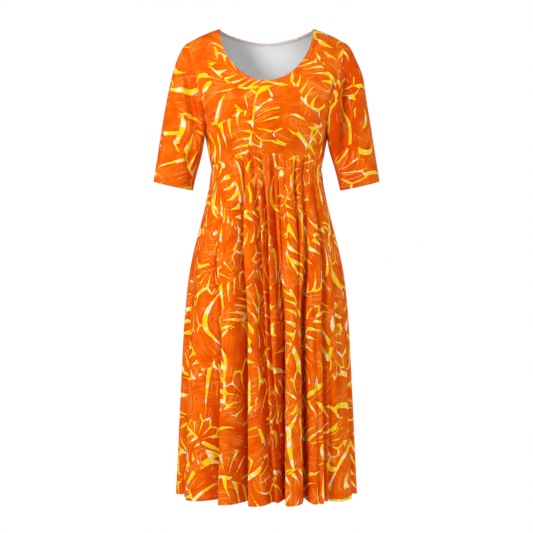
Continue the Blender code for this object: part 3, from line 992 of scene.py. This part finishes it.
def arcs_layer(shader, place, scale):
    """Strokes that sweep in arcs: how far inside the open strokes, and inside the fine painted lines."""
    field = Motifs(shader, place, ARC_SPACING * scale, 1.0, (0.31, 0.17, 0))
    x = field.x + ARC_MIDDLE * scale
    y = field.y + (field.second - 0.5) * (ARC_SCATTER * scale)
    radius, turn = polar(x, y)
    pitch = ARC_PITCH * scale
    ring = radius / pitch + field.third
    from_middle = abs(ring.math("FRACT") - 0.5) * pitch
    swell = (turn * 1.7 + ring.math("FLOOR") * 2.3 + field.first * 6.0).math("SINE")
    half_width = (swell * ARC_SWELL + ARC_OPEN) * (ARC_HALF_WIDTH * scale)
    ruled = ring * LINES_TO_AN_ARC + (turn * 3.0 + field.third * 9.0).math("SINE") * 0.35
    from_line = abs(ruled.math("FRACT") - 0.5) * (pitch / LINES_TO_AN_ARC)
    return half_width - from_middle, LINE_HALF_WIDTH * scale - from_line


def fan_layer(shader, place, scale, wobble):
    """Fan shaped flowers: how far inside the flower, and inside its open strokes."""
    field = Motifs(shader, place, FAN_SPACING * scale, 0.8, (0.63, 0.41, 0))
    radius, turn = polar(field.x, field.y)
    size = (field.second * FAN_RADIUS_RANGE + FAN_RADIUS) * scale
    phase = (turn * (FAN_PETALS / (2 * math.pi)) + wobble * 0.2).math("FRACT")
    from_petal_edge = 0.5 - abs(phase - 0.5)
    edge_distance = from_petal_edge * radius * (2 * math.pi / FAN_PETALS)
    rim = size * (0.80 + 0.42 * from_petal_edge)
    opening = (radius / size).at_most(1.0) ** 1.5 * (FAN_STROKE * scale) - FAN_STROKE_START * scale
    fan = (FAN_HALF_ANGLE - abs(turn)) * radius
    return (rim - radius).at_most(fan), opening - edge_distance


def leaf_layer(shader, place, scale):
    """Broad palm leaves: how far inside the leaf, and inside its open notches."""
    field = Motifs(shader, place, LEAF_SPACING * scale, 0.75, (0.87, 0.29, 0))
    along = field.x / (LEAF_HALF_LENGTH * scale)
    breadth = (1.0 - along * along).at_least(0.0) ** 0.75 * (LEAF_HALF_BREADTH * scale)
    side = abs(field.y)
    pitch = NOTCH_PITCH * scale
    notch = ((field.x + side * 0.8) / pitch + field.third).math("FRACT")
    outwards = (side / breadth.at_least(0.001)).at_most(1.0)
    cut = (outwards * 0.27 - 0.03 - abs(notch - 0.5)) * pitch
    return (breadth - side) * 0.8, cut.at_most(side - LEAF_RIB * scale)


def open_strokes(shader, flat, place, scale):
    """How far inside the open strokes of the whole print a place is, and inside its painted lines."""
    ragged = (shader.noise(flat, RAGGED_SIZE * scale) - 0.5) * (RAGGED * scale)
    wobble = shader.noise(place, WOBBLE_SIZE * scale, 1.0) - 0.5
    strokes, lines = arcs_layer(shader, place, scale)
    gap = MOTIF_GAP * scale
    for inside, cuts in (fan_layer(shader, place, scale, wobble), leaf_layer(shader, place, scale)):
        border = (inside + gap).inside(MOTIF_EDGE)
        outline = gap * 0.5 - abs(inside + gap * 0.5)
        broken = (shader.noise(place, BREAK_SIZE * scale, 1.0) - 0.50) * (BREAK_DEPTH * scale)
        within = inside.inside(MOTIF_EDGE)
        painted = outline.at_most(broken) * (1.0 - within) + cuts * within
        strokes = strokes * (1.0 - border) + painted * border
    return strokes + ragged, lines


def printed_cloth(settings, name):
    """Painterly leaves, fans and sweeping strokes in oranges on yellow and cream, on smooth jersey, with
    painted shade that deepens the orange in folds.
    """
    sheen = (*settings.light_orange, 1.0)
    shader = Shader(name, {
        "Roughness": settings.roughness, "Specular IOR Level": 0.1, "Specular Tint": sheen,
        "Sheen Weight": 0.04, "Sheen Roughness": 0.4, "Sheen Tint": sheen,
    })
    scale = settings.motif_size / PRINT_BASE
    flat = shader.flat_cloth()
    drift = shader.noise(flat, DRIFT_SIZE * scale, 1.0, "Color")
    drift = shader.scaled(shader.vector("SUBTRACT", drift, (0.5, 0.5, 0.5)), DRIFT * scale)
    place = shader.vector("ADD", flat, drift)
    strokes, lines = open_strokes(shader, flat, place, scale)

    # Brush streaks, thin and heavy places and a darker rim beside the strokes vary the orange, and painted
    # shade deepens it in the skirt's folds and on the sleeves' inner sides.
    brush = Motifs(shader, place, BRUSH_SPACING * scale, 1.0, (0.12, 0.77, 0))
    brushed = shader.node("ShaderNodeCombineXYZ", {}, {0: brush.x * BRUSH_STRETCH, 1: brush.y})
    streaks = shader.noise(brushed, STREAK_SIZE * scale, 5.0, roughness=0.68)
    soft = shader.noise(flat, SOFT_SIZE * scale, 3.0)
    rim = (strokes / (RIM_WIDTH * scale)).math("ADD", 1.0, clamp=True)
    deep = soft.beyond(*HEAVY) * 0.6 + rim * 0.6 + streaks.beyond(*LOADED) * 0.4
    # Painted shade: the point attribute deepens the orange in folds and on the sleeves' inner sides.
    deep = (deep + shader.point_value(PAINTED_SHADE_SHARE) * 1.3).at_most(1.0)
    orange = shader.mix(deep, settings.orange, settings.deep_orange)
    pale = streaks.beyond(*THIN) * (soft.beyond(*RUBBED) * 0.55 + 0.2)
    orange = shader.mix(pale, orange, settings.light_orange)
    drawn = shader.noise(place, LINE_PATCH_SIZE * scale, 1.0).beyond(*LINED)
    orange = shader.mix(lines.inside(STROKE_EDGE) * drawn * 0.7, orange, settings.pale_line)
    cream = shader.noise(place, CREAM_PATCH_SIZE * scale).beyond(*CREAMY)
    open_colour = shader.mix(cream, settings.yellow, settings.cream)
    shader.feed("Base Color", shader.mix(strokes.inside(STROKE_EDGE), orange, open_colour))

    grain = shader.noise(flat, PRINT_GRAIN)
    shader.feed("Roughness", grain * 0.12 + (settings.roughness - 0.06))
    add_cloth_bump(shader, flat, grain, PRESSED_OUTSIDE)
    return shader.material


def add_cloth_bump(shader, flat, grain, pressed):
    """Fine jersey ribs and the line pressed in by the stitching, this deep in metres."""
    u, _, _ = shader.split(flat)
    ribs = (u * (2 * math.pi / RIB_PITCH)).math("SINE") * RIB_HEIGHT
    from_line = shader.point_value(EDGE_DISTANCE) - bpy.context.scene.dress_stitching.hem_depth
    away = from_line / GROOVE_HALF_WIDTH
    groove = (away * away * -1.0).math("EXPONENT") * -pressed
    height = ribs + grain * GRAIN_HEIGHT + groove
    bump = shader.node("ShaderNodeBump", {}, {"Strength": 0.6, "Distance": 1.0, "Height": height})
    shader.feed("Normal", bump)


def cloth_reverse(settings, name):
    """The plain pale inner side, with the fine ribs of the knit."""
    shader = Shader(name, {
        "Roughness": 0.8, "Specular IOR Level": 0.2, "Sheen Weight": 0.1, "Sheen Roughness": 0.5,
    })
    flat = shader.flat_cloth()
    grain = shader.noise(flat, REVERSE_GRAIN)
    mottled = shader.noise(flat, 0.05, 3.0)
    darker = tuple(0.9 * channel for channel in settings.reverse)
    shader.feed("Base Color", shader.mix(mottled * 0.5, settings.reverse, darker))
    shader.feed("Roughness", grain * 0.1 + 0.75)
    add_cloth_bump(shader, flat, grain, PRESSED_INSIDE)
    return shader.material


def sewing_thread(settings):
    """Matt twisted thread."""
    shader = Shader("stitch_thread", {"Roughness": 0.6, "Sheen Weight": 0.3})
    x, y, z = shader.split(shader.node("ShaderNodeTexCoord", {}, {}, "Object"))
    twist = ((x + y + z) * (2 * math.pi / TWIST_PITCH)).math("SINE") * 0.5 + 0.5
    darker = tuple(0.6 * channel for channel in settings.thread)
    shader.feed("Base Color", shader.mix(twist * 0.5, settings.thread, darker))
    shader.feed("Roughness", twist * 0.15 + 0.5)
    return shader.material


def finish_cloth(piece, node, settings):
    """Gives a piece its materials and its wall on the inner side, hangs it on the body and hides the solid
    that it stands for.
    """
    for name, maker in (("print_jersey", printed_cloth), ("plain_reverse", cloth_reverse)):
        piece.data.materials.append(bpy.data.materials.get(name) or maker(settings, name))
    wall = piece.modifiers.new("cloth_wall", "SOLIDIFY")
    wall.thickness = settings.thickness
    wall.offset = -1
    wall.material_offset = 1
    wall.material_offset_rim = 0
    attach(piece, BODY)
    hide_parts(node)


def creased_bodice(panel, hand):
    """The points of one half of a bodice panel with its soft creases; hand is 1 at the viewer's right."""
    rows = np.arange(BODICE_ROWS * ROWS_PER_STEP + 1)[:, None] / ROWS_PER_STEP
    share = 1 - (1 - np.arange(BODICE_COLUMNS + 1)[None, :] / BODICE_COLUMNS) ** COLUMN_CROWDING
    points = bodice_points(rows, share, panel)
    points[..., 0] *= hand
    depth = crease_depth(points[..., 0], points[..., 2], BODICE_CREASES[panel])
    calm = eased(rows / CALM_AT_WAIST) * eased((BODICE_ROWS - rows) / CALM_AT_SHOULDER)
    calm = calm * eased((1 - share) / CALM_AT_SIDE)
    outward = grid_normals(points) * (-TOWARDS[panel] * hand)
    return points - outward * (depth * calm)[..., None]


def bodice_half(panel, hand):
    """One half of a bodice panel, from its centre line to its side, with its sewn edges tucked in."""
    points = creased_bodice(panel, hand)
    rows = np.arange(len(points)) / ROWS_PER_STEP
    across = lengths_along(points, 1) + row_start(rows, panel)[0][:, None]
    up = np.maximum.accumulate(lengths_along(points, 0), axis=0)
    sheet = (points, np.stack((across * hand, up), -1), np.full(across.shape, FAR_FROM_EDGE))
    facing = -TOWARDS[panel] * hand
    sheet = turned_grid(finish_last_edge(turned_grid(sheet), SEAM_EDGE, facing))
    return finish_last_edge(finish_edge(sheet, SEAM_EDGE, facing), SEAM_EDGE, -facing)


def make_bodice(panel, settings):
    """One bodice panel: both halves in one sheet, seams tucked in and the neckline turned."""
    name = "bodice_" + panel
    stitching = bpy.context.scene.dress_stitching
    nearer = stitching.hem_depth - stitching.neck_depth
    neck_row = CENTRE_ROWS * ROWS_PER_STEP + len(SEAM_EDGE) - 1
    hidden = [row.inwards > 1 for row in NECK_EDGE[1:]]
    grids, faces, on_reverse = [], [], []
    centre = None
    total = 0
    for hand in (1, -1):
        facing = -TOWARDS[panel] * hand
        points, uv, from_edge = bodice_half(panel, hand)
        neck, neck_uv = (np.swapaxes(part[neck_row:], 0, 1) for part in (points, uv))
        from_edge[neck_row:] = lengths_along(neck, 0).T + nearer
        band, band_uv, band_edge = edge_rows(neck, neck_uv, NECK_EDGE[:-1], -facing)
        band[:, 0, 0] = 0.0  # the halves meet exactly on the centre line
        grids += [(points, uv, from_edge), (band, band_uv, band_edge + nearer)]
        index = numbered(from_edge.shape, total)
        band_index = numbered(band_edge.shape, total + index.size)
        total += index.size + band_index.size
        if centre is None:  # both halves use the first one's points there
            centre = index[: neck_row + 1, 0].copy(), band_index[:, 0].copy()
        index[: neck_row + 1, 0], band_index[:, 0] = centre
        band_index = np.concatenate((band_index, index[None, neck_row:, 0]))
        faces += [grid_faces(index)[:, ::facing], grid_faces(band_index)[:, ::-facing]]
        band_columns = band_index.shape[1] - 1
        on_reverse += [np.zeros(len(faces[-2]), int), np.repeat(hidden, band_columns)]
    points, uv, from_edge = (
        np.concatenate([part.reshape(-1, *part.shape[2:]) for part in parts]) for parts in zip(*grids)
    )
    uv = uv + PRINT_PLACES[name]
    piece = cloth_object("cloth_" + name, points, np.concatenate(faces), uv, from_edge)
    drop_unused(piece)
    piece.data.polygons.foreach_set("material_index", np.concatenate(on_reverse).astype(np.int32))
    flat = flat_size(uv, np.concatenate(faces[::2]))
    finish_cloth(piece, name, settings)


def drop_unused(piece):
    """Removes the vertices that the two halves share and no face uses any more."""
    used = np.zeros(len(piece.data.vertices), bool)
    loops = np.empty(len(piece.data.loops), np.int32)
    piece.data.loops.foreach_get("vertex_index", loops)
    used[loops] = True
    if used.all():
        return
    bm = bmesh.new()
    bm.from_mesh(piece.data)
    bm.verts.ensure_lookup_table()
    loose = [bm.verts[i] for i in np.flatnonzero(~used)]
    bmesh.ops.delete(bm, geom=loose, context="VERTS")
    bm.to_mesh(piece.data)
    bm.free()


def skirt_falls():
    """Shares of the way down the skirt of its rows, closer together near the waist."""
    return (np.linspace(0, 1, SKIRT_ROWS + 1) ** SKIRT_ROW_SPACING)[:, None]


def skirt_grid(panel):
    """Rows of points from the waist seam down to the hem."""
    return skirt_points(np.linspace(-90, 90, SKIRT_COLUMNS + 1)[None, :], skirt_falls(), panel)


def folded_in(points, panel):
    """How far each point lies inside the skirt's full outline, 0 on it and 1 deep in a fold: the share of
    painted shade that the orange gets there.
    """
    x, y, z = np.moveaxis(points, -1, 0)
    depth = column_at(SECTIONS, panel, z)
    across = (np.abs(x) / column_at(SECTIONS, "half_width", z)) ** SECTION_POWER
    through = (np.abs(y) / depth) ** SECTION_POWER
    return np.clip((1 - (across + through) ** (1 / SECTION_POWER)) * depth / DEEP_FOLD, 0, 1)


def make_skirt(panel, settings):
    """One skirt panel with its gathers and folds, sewn edges tucked in and the hem turned up."""
    name = "skirt_" + panel
    points = skirt_grid(panel)
    facing = -TOWARDS[panel]
    around = lengths_along(points, 1)
    total = around[:, -1:]
    hem_width = float(total[-1, 0])
    waist_width = WAIST_CUT_SHARE * hem_width
    width = blend(waist_width, hem_width, skirt_falls())
    down = lengths_along(points, 0).mean(axis=1, keepdims=True)
    uv = np.stack(((around / total - 0.5) * width, np.broadcast_to(-down, around.shape)), -1)
    sheet = (points, uv + PRINT_PLACES[name], np.full(around.shape, FAR_FROM_EDGE))
    turned = finish_last_edge(finish_edge(turned_grid(sheet), SEAM_EDGE, facing), SEAM_EDGE, -facing)
    sheet = finish_edge(turned_grid(turned), SEAM_EDGE, -facing)
    points, uv, from_edge = finish_last_edge(sheet, TURNED_EDGE, facing, free=True)
    faces = grid_faces(numbered(from_edge.shape))[:, ::-facing]
    piece = cloth_object("cloth_" + name, points, faces, uv, from_edge)
    # Painted shade: the orange turns deeper the further a point lies in a fold.
    point_values(piece.data, PAINTED_SHADE_SHARE, folded_in(points, panel))
    finish_cloth(piece, name, settings)


def creased_sleeve(side):
    """Rows of points from the armhole down to the cuff, with soft creases, and the first column twice."""
    points = sleeve_points()
    points[..., 0] *= HAND[side]
    outward = grid_normals(points, closed=True) * -HAND[side]
    down = lengths_along(points, 0)
    calm = eased(down / CREASE_FROM_ARMHOLE) * eased((down[-1:] - down) / CREASE_FROM_CUFF)
    to_front = eased(0.5 - points[..., 1] / CREASE_FROM_ARMHOLE)
    for panel, share in (("front", to_front), ("back", 1 - to_front)):
        depth = crease_depth(points[..., 0], points[..., 2], SLEEVE_CREASES[side][panel])
        points = points - outward * (depth * calm * share)[..., None]
    return np.concatenate((points, points[:, :1]), axis=1)


def make_sleeve(side, settings):
    """One elbow sleeve, sewn into the armhole, with its cuff turned in."""
    name = "sleeve_" + side
    hand = HAND[side]
    points = creased_sleeve(side)
    sheet = (points, laid_flat(points), np.full(points.shape[:2], FAR_FROM_EDGE))
    sheet = finish_last_edge(finish_edge(sheet, SEAM_EDGE, -hand), TURNED_EDGE, hand, free=True)
    points, uv, from_edge = sheet
    uv = uv + PRINT_PLACES[name]
    rows, columns = from_edge.shape
    faces = grid_faces(numbered((rows, columns - 1)), closed=True)[:, ::-hand]
    uv_faces = grid_faces(numbered((rows, columns)))[:, ::-hand]
    points, from_edge = points[:, :-1], from_edge[:, :-1]
    piece = cloth_object("cloth_" + name, points, faces, uv, from_edge, uv_faces)
    # Painted shade: deeper orange on the sleeve's inner part, where the body would shade it.
    inner = np.clip((SLEEVE_SHADE_TO - np.abs(points[..., 0])) / SLEEVE_SHADE_REACH, 0, 1)
    point_values(piece.data, PAINTED_SHADE_SHARE, inner * SLEEVE_SHADE[side])
    flat = flat_size(uv, uv_faces)
    finish_cloth(piece, name, settings)


def line_on_sheet(rows, depth, lift, outwards):
    """A line on a grid of points, this far from the grid's first row and lifted off it a little."""
    distances = lengths_along(rows, 0)
    normals = unit(read_along(grid_normals(rows), distances, depth)) * outwards
    return read_along(rows, distances, depth) + normals * lift


def stitch_line(name, stitching):
    """The points of one line of stitches and whether it closes."""
    edge, side = name.split("_")[1:]
    lift = STITCH_LIFT * stitching.thread_diameter
    if edge == "hem":
        return line_on_sheet(skirt_grid(side)[::-1], stitching.hem_depth, lift, TOWARDS[side]), False
    if edge == "cuff":
        return line_on_sheet(creased_sleeve(side)[::-1], stitching.hem_depth, lift, HAND[side])[:-1], True
    halves = []
    for hand in (-1, 1):
        neck = np.swapaxes(creased_bodice(side, hand)[CENTRE_ROWS * ROWS_PER_STEP :], 0, 1)
        halves.append(line_on_sheet(neck, stitching.neck_depth, lift, TOWARDS[side] * hand))
    return np.concatenate((halves[0][:0:-1], halves[1])), False


def stitch_tree():
    """Geometry nodes that lay separate stitches along the edges of a mesh, and its inputs' identifiers."""
    tree = bpy.data.node_groups.new("stitch_line", "GeometryNodeTree")
    sockets = {}
    for name, kind in (
        ("Geometry", "Geometry"), ("Pitch", "Float"), ("Length", "Float"), ("Thickness", "Float"),
        ("Thread", "Material"),
    ):
        socket = tree.interface.new_socket(name, in_out="INPUT", socket_type="NodeSocket" + kind)
        sockets[name] = socket.identifier
    tree.interface.new_socket("Geometry", in_out="OUTPUT", socket_type="NodeSocketGeometry")

    def add(kind, settings, inputs):
        return new_node(tree, kind, settings, inputs).outputs

    given = add("NodeGroupInput", {}, {})
    line = add("GeometryNodeMeshToCurve", {}, {"Mesh": given["Geometry"]})
    spaced = {"Curve": line["Curve"], "Length": given["Pitch"]}
    places = add("GeometryNodeCurveToPoints", {"mode": "LENGTH"}, spaced)
    aligned = add("FunctionNodeAlignRotationToVector", {"axis": "Z"}, {"Vector": places["Tangent"]})
    bead = add("GeometryNodeMeshUVSphere", {}, {"Segments": 6, "Rings": 4, "Radius": 0.5})
    sides = {"X": given["Thickness"], "Y": given["Thickness"], "Z": given["Length"]}
    size = add("ShaderNodeCombineXYZ", {}, sides)
    laid = add("GeometryNodeInstanceOnPoints", {}, {
        "Points": places["Points"], "Instance": bead["Mesh"], "Rotation": aligned[0], "Scale": size[0],
    })
    smooth = add("GeometryNodeSetShadeSmooth", {}, {"Geometry": laid[0]})
    real = add("GeometryNodeRealizeInstances", {}, {"Geometry": smooth[0]})
    coloured = {"Geometry": real[0], "Material": given["Thread"]}
    thread = add("GeometryNodeSetMaterial", {}, coloured)
    add("NodeGroupOutput", {}, {"Geometry": thread[0]})
    return tree, sockets


def make_stitches(name, tree, sockets, material, stitching):
    """One line of stitches as a plain mesh."""
    points, closes = stitch_line(name, stitching)
    count = len(points)
    edges = [(i, (i + 1) % count) for i in range(count if closes else count - 1)]
    path = bpy.data.meshes.new(name)
    path.from_pydata(points.tolist(), edges, [])
    piece = scene_object(name, path)
    laying = piece.modifiers.new("stitches", "NODES")
    laying.node_group = tree
    laying[sockets["Pitch"]] = stitching.pitch
    laying[sockets["Length"]] = stitching.length
    laying[sockets["Thickness"]] = stitching.thread_diameter
    laying[sockets["Thread"]] = material
    evaluated = piece.evaluated_get(bpy.context.evaluated_depsgraph_get())
    mesh = bpy.data.meshes.new_from_object(evaluated)
    piece.modifiers.remove(laying)
    mesh.materials.clear()
    mesh.materials.append(material)
    mesh.polygons.foreach_set("material_index", np.zeros(len(mesh.polygons), np.int32))
    piece.data = mesh
    bpy.data.meshes.remove(path)
    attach(piece, BODY)


class DRESS_OT_stitching(bpy.types.Operator):
    """Sews the stitch lines of the neckline, the cuffs and the hem"""

    bl_idname = "dress.stitching"
    bl_label = "Stitching"

    def execute(self, context):
        tree, sockets = stitch_tree()
        material = sewing_thread(context.scene.dress_cloth)
        for name in STITCHES.values():
            make_stitches(name, tree, sockets, material, context.scene.dress_stitching)
        bpy.data.node_groups.remove(tree)
        return {"FINISHED"}


class DRESS_OT_bodice(bpy.types.Operator):
    """Makes the front and the back of the bodice"""

    bl_idname = "dress.bodice"
    bl_label = "Bodice"

    def execute(self, context):
        for panel in ("front", "back"):
            make_bodice(panel, context.scene.dress_cloth)
        return {"FINISHED"}


class DRESS_OT_skirt(bpy.types.Operator):
    """Makes the front and the back of the gathered skirt"""

    bl_idname = "dress.skirt"
    bl_label = "Skirt"

    def execute(self, context):
        for panel in ("front", "back"):
            make_skirt(panel, context.scene.dress_cloth)
        return {"FINISHED"}


class DRESS_OT_sleeves(bpy.types.Operator):
    """Makes the two elbow sleeves"""

    bl_idname = "dress.sleeves"
    bl_label = "Sleeves"

    def execute(self, context):
        for side in ("left", "right"):
            make_sleeve(side, context.scene.dress_cloth)
        return {"FINISHED"}


def area_light(name, place, aim, size, spread, power):
    """A soft round light; spread is the angle of its beam in degrees."""
    data = bpy.data.lights.new(name, "AREA")
    data.shape = "DISK"
    data.size = size
    data.energy = power
    data.spread = math.radians(spread)
    light = scene_object(name, data)
    light.location = place
    light.rotation_euler = (Vector(aim) - Vector(place)).to_track_quat("-Z", "Y").to_euler()


class DRESS_OT_stage(bpy.types.Operator):
    """Makes the pale floor, the soft studio light and the camera"""

    bl_idname = "dress.stage"
    bl_label = "Stage"

    def execute(self, context):
        studio = context.scene.dress_studio
        self.floor(studio)
        self.surround(context, studio)
        for name, lamp in LAMPS.items():
            area_light(name, *lamp, getattr(studio, name + "_power"))
        camera = scene_object("camera", bpy.data.cameras.new("camera"))
        camera.location = (0, -studio.camera_distance, studio.camera_height)
        camera.rotation_euler = (math.radians(90), 0, 0)
        camera.data.lens = studio.focal_length
        camera.data.sensor_width = SENSOR_WIDTH
        context.scene.camera = camera
        context.scene.view_settings.view_transform = "Standard"
        return {"FINISHED"}

    def floor(self, studio):
        """A plain pale round floor."""
        mesh = bpy.data.meshes.new("floor")
        turn = np.linspace(0, 2 * math.pi, FLOOR_CORNERS, endpoint=False)
        rim = [(math.cos(a), math.sin(a), studio.floor_height) for a in turn]
        mesh.from_pydata(rim, [], [list(range(FLOOR_CORNERS))])
        shader = Shader("floor_paint", {"Base Color": (0.9, 0.9, 0.9, 1), "Roughness": 0.8})
        mesh.materials.append(shader.material)
        scene_object("floor", mesh)

    def surround(self, context, studio):
        """A white studio: plain white behind the dress, with an even, weaker light on it."""
        world = bpy.data.worlds.new("studio")
        world.use_nodes = True
        tree = world.node_tree
        tree.nodes.clear()
        seen = new_node(tree, "ShaderNodeLightPath", {}, {}).outputs["Is Camera Ray"]
        shares = {0: seen, 1: 1.0 - studio.surround, 2: studio.surround}
        strength = new_node(tree, "ShaderNodeMath", {"operation": "MULTIPLY_ADD"}, shares).outputs[0]
        white = {"Color": (1, 1, 1, 1), "Strength": strength}
        light = new_node(tree, "ShaderNodeBackground", {}, white).outputs[0]
        new_node(tree, "ShaderNodeOutputWorld", {}, {"Surface": light})
        context.scene.world = world


class VIEW3D_PT_dress(bpy.types.Panel):
    """Lists the pieces of the dress in the sidebar"""

    bl_label = "Gathered Midi Dress"
    bl_space_type = "VIEW_3D"
    bl_region_type = "UI"
    bl_category = "Dress"

    def draw(self, context):
        for operator in OPERATORS:
            self.layout.operator(operator.bl_idname)
        for name, group in GROUPS.items():
            box = self.layout.box()
            settings = getattr(context.scene, name)
            for setting in group.__annotations__:
                box.prop(settings, setting)


GROUPS = {"dress_cloth": DressCloth, "dress_stitching": DressStitching, "dress_studio": DressStudio}
OPERATORS = (DRESS_OT_stitching, DRESS_OT_bodice, DRESS_OT_skirt, DRESS_OT_sleeves, DRESS_OT_stage)


def register():
    for item in (*GROUPS.values(), *OPERATORS, VIEW3D_PT_dress):
        bpy.utils.register_class(item)
    for name, group in GROUPS.items():
        setattr(bpy.types.Scene, name, PointerProperty(type=group))


def unregister():
    for name in GROUPS:
        delattr(bpy.types.Scene, name)
    for item in (VIEW3D_PT_dress, *reversed(OPERATORS), *reversed(GROUPS.values())):
        bpy.utils.unregister_class(item)


def main():
    register()
    bpy.ops.dress.stitching()
    bpy.ops.dress.bodice()
    bpy.ops.dress.skirt()
    bpy.ops.dress.sleeves()
    bpy.ops.dress.stage()


if __name__ == "__main__":
    main()
